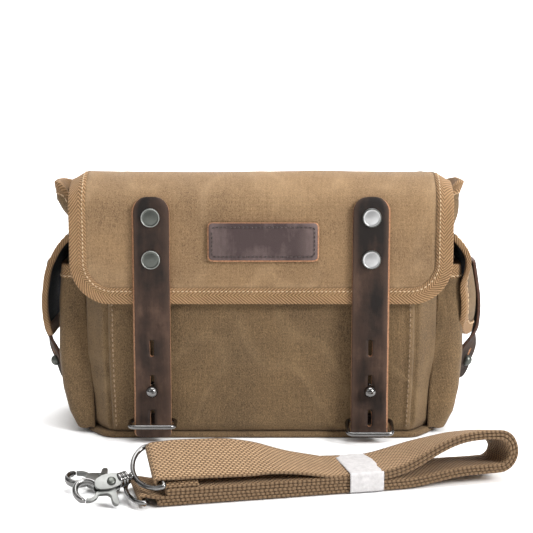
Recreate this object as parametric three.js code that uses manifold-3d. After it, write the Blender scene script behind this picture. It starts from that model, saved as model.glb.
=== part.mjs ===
// Camera bag: a canvas messenger bag with a padded insert, two leather closing straps,
// side pockets and a detached shoulder strap folded on the floor in front of it.
// Millimetres, +Z up, +X to the right seen from the front, -Y to the front.
// Origin: middle of the bag's base, on the floor.
import * as THREE from 'three';
import { mergeVertices } from 'three/addons/utils/BufferGeometryUtils.js';
import Module from 'manifold-3d';

const wasm = await Module();
wasm.setup();

// ---- driving dimensions ----
const GAP = 0.3;                 // clearance between pieces that touch
const SHELL = 3;                 // canvas and lining of a bag wall
const HALF_WIDTH = 121;          // main compartment
const FRONT_WALL = -28;
const REAR = 62;
const BASE = 4;
const FRONT = -62;               // face of the front pocket
const FRONT_POCKET_HALF = 106;
const FRONT_POCKET_TOP = 128;
const MOUTH = 150;               // rim of the main compartment
const HINGE = [61, 168];         // flap fold, y and z
const FLAP_TOP = 181;
const FLAP_FACE = -69;
const FLAP_HALF = 127;
const FLAP_HEM = 94;
const FLAP_CORNER = 28;
const FLAP_ROLL = 24;            // radius of the roll from the top to the face
const BINDING = 9;
const STRAP_X = 73;
const STRAP_HALF = 12.5;
const LEATHER = 3;
const STRAP_TOP = 165;
const TAIL_END = 17.5;
const STUD_Z = 35.5;
const RIVETS = [152.5, 124.5];
const RING_Z = 13.5;
const SIDE_POCKET = { front: -35, rear: 45, low: 3, top: 115 };
const POCKET_TAB_Y = 5;
const POCKET_STUD_Z = 39;
const WEB = { width: 38, thick: 1.7, pitch: 2, low: 1.55 };
const BUNDLE = { x: -65, y: -189, turn: THREE.MathUtils.degToRad(12.6) };

const COLOURS = {
  canvas: [0x8a6e4d, 0.9, 0], tape: [0x8c7150, 0.85, 0], lining: [0x17161a, 0.8, 0],
  leather: [0x3a2a24, 0.5, 0], nickel: [0xa9a6a2, 0.28, 1], padding: [0x2a2a2e, 0.9, 0],
  webbing: [0xa58460, 0.85, 0], paper: [0xe9e6e4, 0.8, 0],
};

const bag = new THREE.Group();

// ---- helpers ----
function finish(name, colour, geometry, parent = bag) {
  const [hex, roughness, metalness] = COLOURS[colour];
  const material = new THREE.MeshStandardMaterial({ color: hex, roughness, metalness });
  const mesh = new THREE.Mesh(geometry, material);
  mesh.name = name;
  parent.add(mesh);
  return mesh;
}

function toSolid(geometry) {
  const plain = geometry.clone();
  plain.deleteAttribute('normal');
  plain.deleteAttribute('uv');
  const merged = mergeVertices(plain, 1e-4);
  return new wasm.Manifold(new wasm.Mesh({
    numProp: 3,
    vertProperties: new Float32Array(merged.attributes.position.array),
    triVerts: new Uint32Array(merged.index.array),
  }));
}

function toGeometry(solid) {
  const mesh = solid.getMesh();
  const geometry = new THREE.BufferGeometry();
  geometry.setAttribute('position', new THREE.BufferAttribute(mesh.vertProperties.slice(), 3));
  geometry.setIndex(new THREE.BufferAttribute(mesh.triVerts.slice(), 1));
  geometry.computeVertexNormals();
  return geometry;
}

const cut = (base, ...tools) => toGeometry(
  tools.reduce((solid, tool) => solid.subtract(toSolid(tool)), toSolid(base)));
const join = (base, ...others) => toGeometry(
  others.reduce((solid, other) => solid.add(toSolid(other)), toSolid(base)));
const common = (base, other) => toGeometry(toSolid(base).intersect(toSolid(other)));

const box = (x0, x1, y0, y1, z0, z1) => new THREE.BoxGeometry(x1 - x0, y1 - y0, z1 - z0)
  .translate((x0 + x1) / 2, (y0 + y1) / 2, (z0 + z1) / 2);

const asShape = (outline) => (outline.isShape ? outline
  : new THREE.Shape(outline.map(([u, v]) => new THREE.Vector2(u, v))));

function extrude(outline, depth, curveSegments = 8) {
  return new THREE.ExtrudeGeometry(asShape(outline), { depth, bevelEnabled: false, curveSegments });
}

// outline in (x, y), raised from z0 to z1
const alongZ = (outline, z0, z1) => extrude(outline, z1 - z0).translate(0, 0, z0);

// outline in (y, z), swept from x0 to x1
function alongX(outline, x0, x1) {
  const turn = new THREE.Matrix4().makeBasis(
    new THREE.Vector3(0, 1, 0), new THREE.Vector3(0, 0, 1), new THREE.Vector3(1, 0, 0));
  return extrude(outline, x1 - x0).applyMatrix4(turn).translate(x0, 0, 0);
}

// outline in (x, z), swept from y0 to y1
function alongY(outline, y0, y1) {
  const turn = new THREE.Matrix4().makeBasis(
    new THREE.Vector3(1, 0, 0), new THREE.Vector3(0, 0, 1), new THREE.Vector3(0, -1, 0));
  return extrude(outline, y1 - y0).applyMatrix4(turn).translate(0, y1, 0);
}

const mirrored = (side, points) => points.map(([x, z]) => [side * x, z]);

// closed outline of a sheet that follows a path, between two offsets to its left
function band(path, near, far) {
  const points = path.map(([u, v]) => new THREE.Vector2(u, v));
  const normals = points.map((point, i) => {
    const before = points[Math.max(i - 1, 0)];
    const after = points[Math.min(i + 1, points.length - 1)];
    const into = point.clone().sub(before).normalize();
    const out = after.clone().sub(point).normalize();
    if (i === 0) into.copy(out);
    if (i === points.length - 1) out.copy(into);
    const along = into.clone().add(out).normalize();
    const stretch = 1 / Math.max(along.dot(out), 0.5);
    return new THREE.Vector2(-along.y, along.x).multiplyScalar(stretch);
  });
  const offset = (distance) => points.map(
    (point, i) => [point.x + normals[i].x * distance, point.y + normals[i].y * distance]);
  return [...offset(near), ...offset(far).reverse()];
}

function arc(cu, cv, radius, from, to, steps) {
  return Array.from({ length: steps + 1 }, (_, i) => {
    const angle = THREE.MathUtils.degToRad(from + ((to - from) * i) / steps);
    return [cu + radius * Math.cos(angle), cv + radius * Math.sin(angle)];
  });
}

function roundedBox(u0, u1, v0, v1, radius) {
  const shape = new THREE.Shape();
  shape.moveTo(u0 + radius, v0);
  shape.lineTo(u1 - radius, v0);
  shape.absarc(u1 - radius, v0 + radius, radius, -Math.PI / 2, 0, false);
  shape.lineTo(u1, v1 - radius);
  shape.absarc(u1 - radius, v1 - radius, radius, 0, Math.PI / 2, false);
  shape.lineTo(u0 + radius, v1);
  shape.absarc(u0 + radius, v1 - radius, radius, Math.PI / 2, Math.PI, false);
  shape.lineTo(u0, v0 + radius);
  shape.absarc(u0 + radius, v0 + radius, radius, Math.PI, 1.5 * Math.PI, false);
  return shape;
}

// D of round-edged wire: straight bar along v at u = 0, bow towards +u
function wireD(half, reach, wire) {
  const shape = new THREE.Shape();
  shape.moveTo(-wire / 2, -half);
  shape.absellipse(wire / 2, 0, reach, half, -Math.PI / 2, Math.PI / 2, false);
  shape.lineTo(-wire / 2, half);
  shape.lineTo(-wire / 2, -half);
  const hole = new THREE.Path();
  hole.moveTo(wire / 2, -half + wire);
  hole.absellipse(wire / 2, 0, reach - wire, half - wire, -Math.PI / 2, Math.PI / 2, false);
  hole.lineTo(wire / 2, -half + wire);
  shape.holes.push(hole);
  return wirePlate(shape, wire);
}

function wireLoop(halfU, halfV, wire) {
  const shape = roundedBox(-halfU, halfU, -halfV, halfV, wire * 2);
  shape.holes.push(roundedBox(-halfU + wire, halfU - wire, -halfV + wire, halfV - wire, wire));
  return wirePlate(shape, wire);
}

function wirePlate(shape, wire) {
  const edge = wire * 0.28;
  return new THREE.ExtrudeGeometry(shape, {
    depth: wire - 2 * edge, bevelEnabled: true, bevelThickness: edge, bevelSize: edge,
    bevelOffset: -edge, bevelSegments: 1, curveSegments: 8,
  }).translate(0, 0, edge - wire / 2);
}

// turned piece: profile of [radius, height], standing on a surface with its axis along +z
function turned(profile, segments = 16) {
  const points = profile.map(([radius, height]) => new THREE.Vector2(radius, height));
  return new THREE.LatheGeometry(points, segments).rotateX(Math.PI / 2);
}

// carry a piece's own u, v and u x v axes to the given directions and origin
function place(geometry, u, v, origin) {
  const axisU = new THREE.Vector3(...u).normalize();
  const axisV = new THREE.Vector3(...v).normalize();
  const axisW = axisU.clone().cross(axisV);
  return geometry.applyMatrix4(new THREE.Matrix4().makeBasis(axisU, axisV, axisW))
    .translate(...origin);
}

const faceForward = (geometry) => geometry.rotateX(Math.PI / 2);      // +z to -y
const faceSideways = (geometry, side) => geometry.rotateY((side * Math.PI) / 2);

function ballStud(height) {
  const ball = 4;
  return turned([[0, 0], [4.5, 0], [4.5, 1.2], [2, 2], [2, height - 2 * ball + 0.8],
    ...arc(0, height - ball, ball, -58, 84, 7), [0, height]]);
}

const rivetCap = () => turned([[0, 0], [6.2, 0], [6.2, 1.3], [5.4, 1.9], [4.7, 1.5], [0, 1.9]]);

const SIDES = [['left', -1], ['right', 1]];

// ---- bag body ----
function bagBody() {
  const plan = [[-FRONT_POCKET_HALF, FRONT], [FRONT_POCKET_HALF, FRONT], [HALF_WIDTH, -42],
    [HALF_WIDTH, REAR], [-HALF_WIDTH, REAR], [-HALF_WIDTH, -42]];
  finish('base_panel', 'canvas', alongZ(plan, 0, BASE));
  const floor = BASE + GAP;
  finish('rear_panel', 'canvas', box(-HALF_WIDTH, HALF_WIDTH, REAR - SHELL, REAR, floor, 164));
  const frontHalf = HALF_WIDTH - SHELL - GAP;
  finish('front_panel', 'canvas',
    box(-frontHalf, frontHalf, FRONT_WALL - SHELL, FRONT_WALL, floor, MOUTH));

  const inset = SHELL / 2;
  const pocketPath = [[-HALF_WIDTH + inset, FRONT_WALL - SHELL - GAP], [-HALF_WIDTH + inset, -41.4],
    [-FRONT_POCKET_HALF + 0.8, FRONT + inset], [FRONT_POCKET_HALF - 0.8, FRONT + inset],
    [HALF_WIDTH - inset, -41.4], [HALF_WIDTH - inset, FRONT_WALL - SHELL - GAP]];
  const pocketWall = band(pocketPath, -inset, inset);
  finish('front_pocket', 'canvas', alongZ(pocketWall, floor, FRONT_POCKET_TOP));
  finish('front_pocket_tape', 'tape',
    alongZ(pocketWall, FRONT_POCKET_TOP + GAP, FRONT_POCKET_TOP + 5));

  for (const [name, side] of SIDES) {
    const outer = [[121, floor], [121, 116], [126, 128], [131, 140], [144, 171]];
    const gusset = band(mirrored(side, outer), 0, side * SHELL);
    finish(`${name}_gusset`, 'canvas', alongY(gusset, FRONT_WALL - SHELL, REAR - SHELL - GAP));
    sidePocket(name, side);
    finish(`${name}_stud`, 'nickel',
      faceForward(ballStud(17)).translate(side * STRAP_X, FRONT - GAP, STUD_Z));
    keeper(name, side);
    anchor(name, side);
  }
}

function sidePocket(name, side) {
  const { front, rear, low, top } = SIDE_POCKET;
  const wall = 2.5;
  const inner = HALF_WIDTH + GAP;
  const face = [[134, low], [140, 25], [142.5, 54], [141.5, 90], [139, top]];
  const outside = [[inner, low], ...face, [inner, top]];
  const insideFace = face.map(([x, z]) => [x - wall, z]);
  const inside = [[inner - wall, low + wall], [insideFace[0][0], low + wall],
    ...insideFace.slice(1), [insideFace.at(-1)[0], top + 5], [inner - wall, top + 5]];
  finish(`${name}_side_pocket`, 'canvas', cut(
    alongY(mirrored(side, outside), front, rear),
    alongY(mirrored(side, inside), front + wall, rear - wall)));
  finish(`${name}_pocket_stud`, 'nickel',
    faceSideways(ballStud(11), side).translate(side * 142, POCKET_TAB_Y, POCKET_STUD_Z));
}

const RING_BAR_Y = -66;

function keeper(name, side) {
  const middle = side * STRAP_X;
  const bore = new THREE.CylinderGeometry(2, 2, 30, 12).rotateZ(Math.PI / 2)
    .translate(middle, RING_BAR_Y, RING_Z);
  finish(`${name}_keeper_tab`, 'leather', cut(
    box(middle - 9, middle + 9, RING_BAR_Y - 3.7, FRONT - GAP, RING_Z - 4, RING_Z + 3.7), bore));
  const droop = THREE.MathUtils.degToRad(side < 0 ? 2 : 21);
  const wire = 3;
  finish(`${name}_keeper_ring`, 'nickel', wireLoop(9.5, 16.5, wire)
    .translate(9.5 - wire / 2, 0, 0).rotateZ(-Math.PI / 2).rotateX(droop)
    .translate(middle, RING_BAR_Y, RING_Z));
}

// leather chape and D-ring high on the back, for the shoulder strap's hooks
function anchor(name, side) {
  const middle = side * 98;
  const top = { y: 67.6, z: 146 };
  const chape = [[REAR + GAP, 104], [65.3, 104], [65.3, top.z - 3],
    ...arc(top.y, top.z, 4.4, -110, 140, 10), [REAR + GAP, top.z + 2]];
  const bore = new THREE.CylinderGeometry(2.3, 2.3, 60, 12).rotateZ(Math.PI / 2)
    .translate(middle, top.y, top.z);
  finish(`${name}_anchor_tab`, 'leather', cut(alongX(chape, middle - 11, middle + 11), bore));
  finish(`${name}_d_ring`, 'nickel',
    place(wireD(16.5, 22, 3.4), [0, 0, -1], [1, 0, 0], [middle, top.y, top.z]));
}

// ---- padded insert with two dividers ----
function insert() {
  const pad = 6;
  const outer = { x: 114, front: -25, rear: 56, low: 5, top: 140 };
  const hollow = box(-outer.x + pad, outer.x - pad, outer.front + pad, outer.rear - pad,
    outer.low + pad, outer.top + 5);
  finish('padded_insert', 'padding', cut(
    box(-outer.x, outer.x, outer.front, outer.rear, outer.low, outer.top), hollow));
  for (const [name, x] of [['left_divider', -36], ['right_divider', 36]]) {
    finish(name, 'padding', box(x - pad / 2, x + pad / 2, outer.front + pad + 0.6,
      outer.rear - pad - 0.6, outer.low + pad + GAP, outer.top - 14));
  }
}

// ---- flap with its binding, straps, rivets and patch ----
function flap() {
  const rollMiddle = { y: FLAP_FACE + FLAP_ROLL, z: FLAP_TOP - FLAP_ROLL };
  const path = [[REAR, HINGE[1]], [59, 171], [48, 172.6],
    ...arc(rollMiddle.y, rollMiddle.z, FLAP_ROLL, 84, 180, 10), [FLAP_FACE, FLAP_HEM]];
  const sheet = (near, far, half = FLAP_HALF) => alongX(band(path, near, far), -half, half);
  const outline = (inset) => {
    const half = FLAP_HALF - inset;
    const radius = FLAP_CORNER - inset;
    const hem = FLAP_HEM + inset;
    return [[half, 200], [-half, 200], ...arc(-half + radius, hem + radius, radius, 180, 270, 8),
      ...arc(half - radius, hem + radius, radius, 270, 360, 8)];
  };
  const prism = (inset) => alongY(outline(inset), -100, 100);
  finish('flap_canvas', 'canvas', common(sheet(0, 1.5), prism(BINDING)));
  finish('flap_lining', 'lining', common(sheet(1.8, 3.2), prism(BINDING)));
  finish('flap_binding', 'tape',
    cut(common(sheet(0, 3.6), prism(0)), prism(BINDING - GAP)));
  finish('name_patch', 'leather', box(1.4 - 37, 1.4 + 37, FLAP_FACE - GAP - 2.2, FLAP_FACE - GAP,
    123, 149));

  const outward = [-GAP, -GAP - LEATHER];
  for (const [name, side] of SIDES) {
    const middle = side * STRAP_X;
    const strap = alongX(band(path, ...outward), middle - STRAP_HALF, middle + STRAP_HALF);
    finish(`${name}_strap`, 'leather', common(strap,
      box(middle - 20, middle + 20, -90, 0, FLAP_HEM, STRAP_TOP)));
    RIVETS.forEach((height, i) => {
      finish(`${name}_rivet_${i + 1}`, 'nickel', faceForward(rivetCap())
        .translate(middle, FLAP_FACE - 2 * GAP - LEATHER, height));
    });
    strapTail(name, middle);
  }
}

// free lower end of a closing strap, with adjusting slots over the stud
function strapTail(name, middle) {
  const near = FLAP_FACE - GAP - LEATHER;
  const far = FLAP_FACE - GAP;
  const outline = [[middle - STRAP_HALF, FLAP_HEM - GAP], [middle - STRAP_HALF, TAIL_END + 4],
    [middle - STRAP_HALF + 4, TAIL_END], [middle + STRAP_HALF - 4, TAIL_END],
    [middle + STRAP_HALF, TAIL_END + 4], [middle + STRAP_HALF, FLAP_HEM - GAP]];
  const studSlot = box(middle - 4.6, middle + 4.6, -90, -50, STUD_Z - 12, STUD_Z + 5);
  const spareSlot = box(middle - 1.5, middle + 1.5, -90, -50, 59, 70.5);
  finish(`${name}_strap_tail`, 'leather', cut(alongY(outline, near, far), studSlot, spareSlot));
}

// ---- side pocket flaps ----
function pocketFlaps() {
  const flapPath = [[133, 136], [141, 128], [149, 113], [152.5, 92], [152.5, 79], [149.5, 63]];
  const tabPath = [[149.6, 113.5], [153.1, 92], [153.1, 79], [150.3, 62], [148.5, 50],
    [146, 38], [144.5, 27]];
  const half = 12.5;
  for (const [name, side] of SIDES) {
    finish(`${name}_pocket_flap`, 'canvas',
      alongY(band(mirrored(side, flapPath), 0, -side * SHELL), -37, 47));
    const tab = alongY(band(mirrored(side, tabPath), 0, side * 2.5),
      POCKET_TAB_Y - half, POCKET_TAB_Y + half);
    const hole = box(side > 0 ? 130 : -170, side > 0 ? 170 : -130,
      POCKET_TAB_Y - 4.6, POCKET_TAB_Y + 4.6, POCKET_STUD_Z - 7.5, POCKET_STUD_Z + 5);
    finish(`${name}_pocket_tab`, 'leather', cut(tab, hole));
    finish(`${name}_tab_rivet`, 'nickel', faceSideways(
      turned([[0, 0], [4, 0], [4, 0.8], [3, 1.5], [0, 1.6]]), side)
      .translate(side * 155.9, POCKET_TAB_Y, 86));
  }
}

// ---- shoulder strap, folded in six strands and banded ----
const strandZ = (k) => WEB.low + (6 - k) * WEB.pitch;      // k = 1 is the top strand

function webbingPath() {
  const eyeA = { u: 3, z: 19.4 };
  const eyeB = { u: -6, z: 4.6 };
  const wrap = 2.65;                                   // centre line round an eye's bar
  const rightLoop = (inset) => {
    const top = [[150, strandZ(1)], [162, 15.4], [175, 20.6], [188, 24], [200, 25.4]];
    const end = arc(204.5, 13.5, 12, 80, -80, 9).map(([u, z]) => [u + 3.5, z]);
    const outer = [[108, strandZ(1)], ...top, ...end, [196, WEB.low], [150, WEB.low],
      [108, WEB.low]];
    return band(outer, 0, -inset).slice(outer.length).reverse();
  };
  const leftFold = (u, upper, lower, rising) => {
    const fold = arc(u, (strandZ(upper) + strandZ(lower)) / 2, WEB.pitch / 2, 90, 270, 6);
    return rising ? fold.reverse() : fold;
  };
  return [
    [26, 17.2], [12, 16.9], ...arc(eyeA.u, eyeA.z, wrap, 270, 90, 8), [20, 20.9], [60, 14.6],
    [88, 12],
    ...rightLoop(0), ...leftFold(3, 5, 6, true), ...rightLoop(WEB.pitch).reverse(),
    ...leftFold(8, 2, 3, false), ...rightLoop(2 * WEB.pitch), [8, strandZ(4)], [2, strandZ(4)],
    [-2.4, 6.6], ...arc(eyeB.u, eyeB.z, wrap, 75, 290, 9),
  ];
}

function shoulderStrap() {
  const bundle = new THREE.Group();
  bundle.position.set(BUNDLE.x, BUNDLE.y, 0);
  bundle.rotation.z = BUNDLE.turn;
  bag.add(bundle);
  const half = WEB.width / 2;
  const ribbon = band(webbingPath(), -WEB.thick / 2, WEB.thick / 2);
  finish('strap_webbing', 'webbing', alongY(ribbon, -half, half), bundle);
  const bandHole = { low: 0.4, top: strandZ(1) + WEB.thick / 2 + GAP, half: half + GAP };
  const paper = 0.35;
  finish('paper_band', 'paper', cut(
    box(112, 137, -bandHole.half - paper, bandHole.half + paper,
      bandHole.low - paper, bandHole.top + paper),
    box(100, 160, -bandHole.half, bandHole.half, bandHole.low, bandHole.top)), bundle);

  hookEyes(bundle);
}

// Each end of the strap is folded round the bar of a wire D. A swivel hook turns on a post
// that stands on the bow of that D. Positions and directions are in the bundle's own frame.
const HOOKS = {
  hook_a: {
    bar: [3, 0, 19.4], reach: 15, wire: 3, bow: [-0.933, 0, -0.36], post: [-11, 0, 14],
    axis: new THREE.Vector3(-0.92, -0.31, -0.15).normalize(), lever: 1, roll: -40,
  },
  hook_b: {
    bar: [-6, 0, 4.6], reach: 9.5, wire: 2.6, bow: [-1, 0, 0], post: [-13.4, 13.5, 4.6],
    axis: new THREE.Vector3(-0.92, 0.38, 0.08).normalize(), lever: -1, roll: -10,
  },
};
const PIVOT = [14, -0.5];         // trigger's pin, along and across the hook
const PIN = 1.5;

function hookEyes(bundle) {
  for (const [name, hook] of Object.entries(HOOKS)) {
    const ring = place(wireD(23.5, hook.reach, hook.wire), hook.bow, [0, -1, 0], hook.bar);
    const across = hook.axis.clone().cross(new THREE.Vector3(0, 0, 1));
    const post = place(rod(1.7, 0.4, 7), hook.axis.toArray(), across.toArray(), hook.post);
    finish(`${name}_eye`, 'nickel', join(ring, post), bundle);

    const sideways = across.multiplyScalar(hook.lever).normalize()
      .applyAxisAngle(hook.axis, THREE.MathUtils.degToRad(hook.roll)).toArray();
    const set = (piece) => place(piece, hook.axis.toArray(), sideways, hook.post);
    finish(`${name}_body`, 'nickel', set(hookBody()), bundle);
    finish(`${name}_trigger`, 'nickel', set(hookTrigger()), bundle);
    finish(`${name}_pin`, 'nickel', set(hookPin()), bundle);
  }
}

// round bar along +u
const rod = (radius, from, to) => new THREE.CylinderGeometry(radius, radius, to - from, 12)
  .rotateZ(Math.PI / 2).translate((from + to) / 2, 0, 0);

const plate = (outline, half) => extrude(outline, 2 * half).translate(0, 0, -half);

const pinHole = () => new THREE.CylinderGeometry(PIN + GAP, PIN + GAP, 20, 10)
  .rotateX(Math.PI / 2).translate(...PIVOT, 0);

// swivel barrel, two cheeks with a slot for the trigger, and an open round claw
function hookBody() {
  const cheeks = plate([[8.4, -4], [12, -4.6], [17, -4.6], [22, -3], [22, 4.4], [14, 5.2], [8.4, 4]],
    3.2);
  const claw = plate([...arc(29, 0, 8.6, 200, -60, 14), ...arc(29, 0, 5.2, -60, 200, 14)], 2.5);
  const slot = box(10, 26, -12, 3, -1.8, 1.8);
  return cut(join(rod(4.4, 3, 9.4), cheeks, claw), rod(2.1, 0, 7.6), slot, pinHole());
}

function hookTrigger() {
  const gate = [[12, -2.5], [13, 1.6], [16, 1.2], [18, -2], [23, -3.2], [28, -2.6], [31.6, -1.6],
    [32.6, -3.4], [29, -5], [24, -5.6], [19, -6.2], [17.5, -7], [17.8, -14], [15.2, -14.6],
    [13.2, -6]];
  return cut(plate(gate.reverse(), 1.5), pinHole());
}

function hookPin() {
  const head = PIN + 1.1;
  return new THREE.LatheGeometry([[0, -4.4], [head, -4.4], [head, -3.5], [PIN, -3.5], [PIN, 3.5],
    [head, 3.5], [head, 4.4], [0, 4.4]].map(([r, h]) => new THREE.Vector2(r, h)), 12)
    .rotateX(Math.PI / 2).translate(...PIVOT, 0);
}

bagBody();
insert();
flap();
pocketFlaps();
shoulderStrap();

export default bag;
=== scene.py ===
"""The look of the camera bag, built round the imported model.

Lengths in this script are millimetres until a mesh is made. +X is to the right seen from the
front, -Y is out of the front face and +Z is up. UVs are millimetres of cloth.
"""
import math

import bmesh
import bpy
import numpy as np
from mathutils import Matrix, Vector, noise


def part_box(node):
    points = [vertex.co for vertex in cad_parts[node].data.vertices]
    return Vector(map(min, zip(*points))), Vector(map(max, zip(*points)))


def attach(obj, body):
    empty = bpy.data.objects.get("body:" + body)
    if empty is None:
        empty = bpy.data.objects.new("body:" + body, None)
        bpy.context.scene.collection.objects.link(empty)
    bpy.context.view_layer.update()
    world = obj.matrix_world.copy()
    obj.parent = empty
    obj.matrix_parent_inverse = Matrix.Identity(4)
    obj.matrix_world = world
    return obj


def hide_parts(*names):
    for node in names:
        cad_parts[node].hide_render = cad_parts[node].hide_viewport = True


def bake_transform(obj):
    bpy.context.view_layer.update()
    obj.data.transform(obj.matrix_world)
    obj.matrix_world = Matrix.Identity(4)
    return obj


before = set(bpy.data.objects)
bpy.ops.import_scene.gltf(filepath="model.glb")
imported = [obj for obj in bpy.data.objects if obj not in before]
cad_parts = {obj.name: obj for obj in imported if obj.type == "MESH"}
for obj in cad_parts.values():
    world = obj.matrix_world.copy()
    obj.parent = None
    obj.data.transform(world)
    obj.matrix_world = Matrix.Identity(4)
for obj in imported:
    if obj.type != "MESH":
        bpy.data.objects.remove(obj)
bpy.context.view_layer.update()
MM = 0.001
SIDES = (("left", -1), ("right", 1))


def cad(node):
    """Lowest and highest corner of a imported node, in millimetres."""
    low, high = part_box(node)
    return np.array(low) / MM, np.array(high) / MM


# ---- sizes read from the frame ----
POCKET_LOW, POCKET_HIGH = cad("front_pocket")
BASE_LOW, BASE_HIGH = cad("base_panel")
BIND_LOW, BIND_HIGH = cad("flap_binding")
STRAP_LOW, STRAP_HIGH = cad("right_strap")
STUD_LOW, STUD_HIGH = cad("right_stud")
REAR = BASE_HIGH[1]
HALF = BASE_HIGH[0]
FRONT = POCKET_LOW[1]
FLAP_TOP = BIND_HIGH[2]
FLAP_FACE = BIND_LOW[1]
FLAP_HALF = BIND_HIGH[0]
FLAP_HEM = BIND_LOW[2]
STRAP_X = (STRAP_LOW[0] + STRAP_HIGH[0]) / 2
STRAP_WIDTH = STRAP_HIGH[0] - STRAP_LOW[0]
STUD_Z = (STUD_LOW[2] + STUD_HIGH[2]) / 2

FLAP_ROLL = 24.0
REAR_FOLD = 172.6
FLAP_CORNER = 28.0
FLAP_THICK = 3.2
FLAP_TAPE = 11.0
EDGE_TAPE = 9.0
TAPE_THICK = 0.55
EDGE_STEP = 1.6
WEB_WIDTH = 38.0
WEB_THICK = 1.7


# ---- node helpers ----
def set_stops(ramp, stops):
    while len(ramp.elements) < len(stops):
        ramp.elements.new(0.5)
    for element, (position, colour) in zip(ramp.elements, stops):
        element.position = position
        element.color = (*colour, 1.0)


class Material:
    """A principled material with short calls for adding texture nodes."""

    def __init__(self, name, **constants):
        self.material = bpy.data.materials.new(name)
        self.material.use_nodes = True
        self.tree = self.material.node_tree
        self.shader = self.tree.nodes["Principled BSDF"]
        for socket, value in constants.items():
            self.shader.inputs[socket.replace("_", " ")].default_value = value

    def add(self, kind, inputs=None, **settings):
        made = self.tree.nodes.new(kind)
        for key, value in settings.items():
            setattr(made, key, value)
        for key, value in (inputs or {}).items():
            if isinstance(value, bpy.types.NodeSocket):
                self.tree.links.new(value, made.inputs[key])
            else:
                made.inputs[key].default_value = value
        return made

    def math(self, operation, first, second=0.0):
        return self.add("ShaderNodeMath", {0: first, 1: second}, operation=operation).outputs[0]

    def weighted(self, *terms):
        """Sum of (socket, weight) pairs."""
        parts = [self.math("MULTIPLY", socket, weight) for socket, weight in terms]
        total = parts[0]
        for part in parts[1:]:
            total = self.math("ADD", total, part)
        return total

    def uv(self):
        split = self.add("ShaderNodeSeparateXYZ", {0: self.add("ShaderNodeUVMap").outputs[0]})
        return split.outputs[0], split.outputs[1]

    def vector(self, x, y, z=0.0):
        return self.add("ShaderNodeCombineXYZ", {0: x, 1: y, 2: z}).outputs[0]

    def noise(self, vector, scale, detail=3.0, roughness=0.55):
        made = self.add("ShaderNodeTexNoise", {"Vector": vector, "Scale": scale,
                                               "Detail": detail, "Roughness": roughness})
        return made.outputs[0]

    def place(self):
        """Position in metres, which stays with the piece."""
        return self.add("ShaderNodeTexCoord").outputs["Object"]

    def streaks(self, vector, scale, detail, roughness=0.55):
        """Noise drawn out in one direction by unequal scales."""
        mapped = self.add("ShaderNodeMapping", {"Vector": vector, "Scale": scale}).outputs[0]
        return self.noise(mapped, 1.0, detail, roughness)

    def wear(self):
        return self.add("ShaderNodeAttribute", attribute_name="wear").outputs["Fac"]

    def ramp(self, value, *stops):
        made = self.add("ShaderNodeValToRGB", {0: value})
        set_stops(made.color_ramp, stops)
        return made.outputs[0]

    def remap(self, value, low, high, to_low, to_high):
        made = self.add("ShaderNodeMapRange", {0: value, 1: low, 2: high, 3: to_low, 4: to_high})
        return made.outputs[0]

    def mix(self, factor, first, second, blend="MIX"):
        made = self.add("ShaderNodeMix", data_type="RGBA", blend_type=blend)
        for index, value in ((0, factor), (6, first), (7, second)):
            if isinstance(value, bpy.types.NodeSocket):
                self.tree.links.new(value, made.inputs[index])
            else:
                made.inputs[index].default_value = value if index == 0 else (*value, 1.0)
        return made.outputs[2]

    def colour(self, socket):
        self.tree.links.new(socket, self.shader.inputs["Base Color"])

    def rough(self, socket):
        self.tree.links.new(socket, self.shader.inputs["Roughness"])

    def bump(self, *layers):
        """Each layer is (height socket, depth in millimetres); later ones ride on earlier."""
        below = None
        for height, depth in layers:
            made = self.add("ShaderNodeBump", {"Height": height, "Distance": depth * MM})
            if below is not None:
                self.tree.links.new(below, made.inputs["Normal"])
            below = made.outputs[0]
        self.tree.links.new(below, self.shader.inputs["Normal"])


COARSE_CLOTH = {"Roughness": 0.85, "Sheen_Weight": 0.04, "Specular_IOR_Level": 0.2}
CANVAS_YARN = 0.85
# Heights in metres between which the leather is painted darker: painted shade towards the top.
SHADED_ABOVE = (0.100, 0.135)


def hump(m, value, pitch):
    """Half a sine across each thread."""
    fraction = m.math("FRACT", m.math("DIVIDE", value, pitch))
    return m.math("SINE", m.math("MULTIPLY", fraction, math.pi))


def thread_number(m, value, pitch):
    return m.math("FLOOR", m.math("DIVIDE", value, pitch))


def plain_weave(m, pitch):
    """Height of a plain weave, and a tone that differs from yarn to yarn and along each yarn."""
    u, v = m.uv()
    height = m.math("MULTIPLY", hump(m, u, pitch), hump(m, v, pitch))
    yarn_u, yarn_v = thread_number(m, u, pitch), thread_number(m, v, pitch)
    warp = m.noise(m.vector(m.math("MULTIPLY", yarn_u, 3.7), m.math("MULTIPLY", v, 0.11)), 1.0, 2.0)
    weft = m.noise(m.vector(m.math("MULTIPLY", u, 0.11), m.math("MULTIPLY", yarn_v, 3.7), 9.0),
                   1.0, 2.0)
    over = m.math("FLOORED_MODULO", m.math("ADD", yarn_u, yarn_v), 2.0)
    tone = m.add("ShaderNodeMix", {0: over, 2: warp, 3: weft}).outputs[0]
    return height, tone


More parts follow.
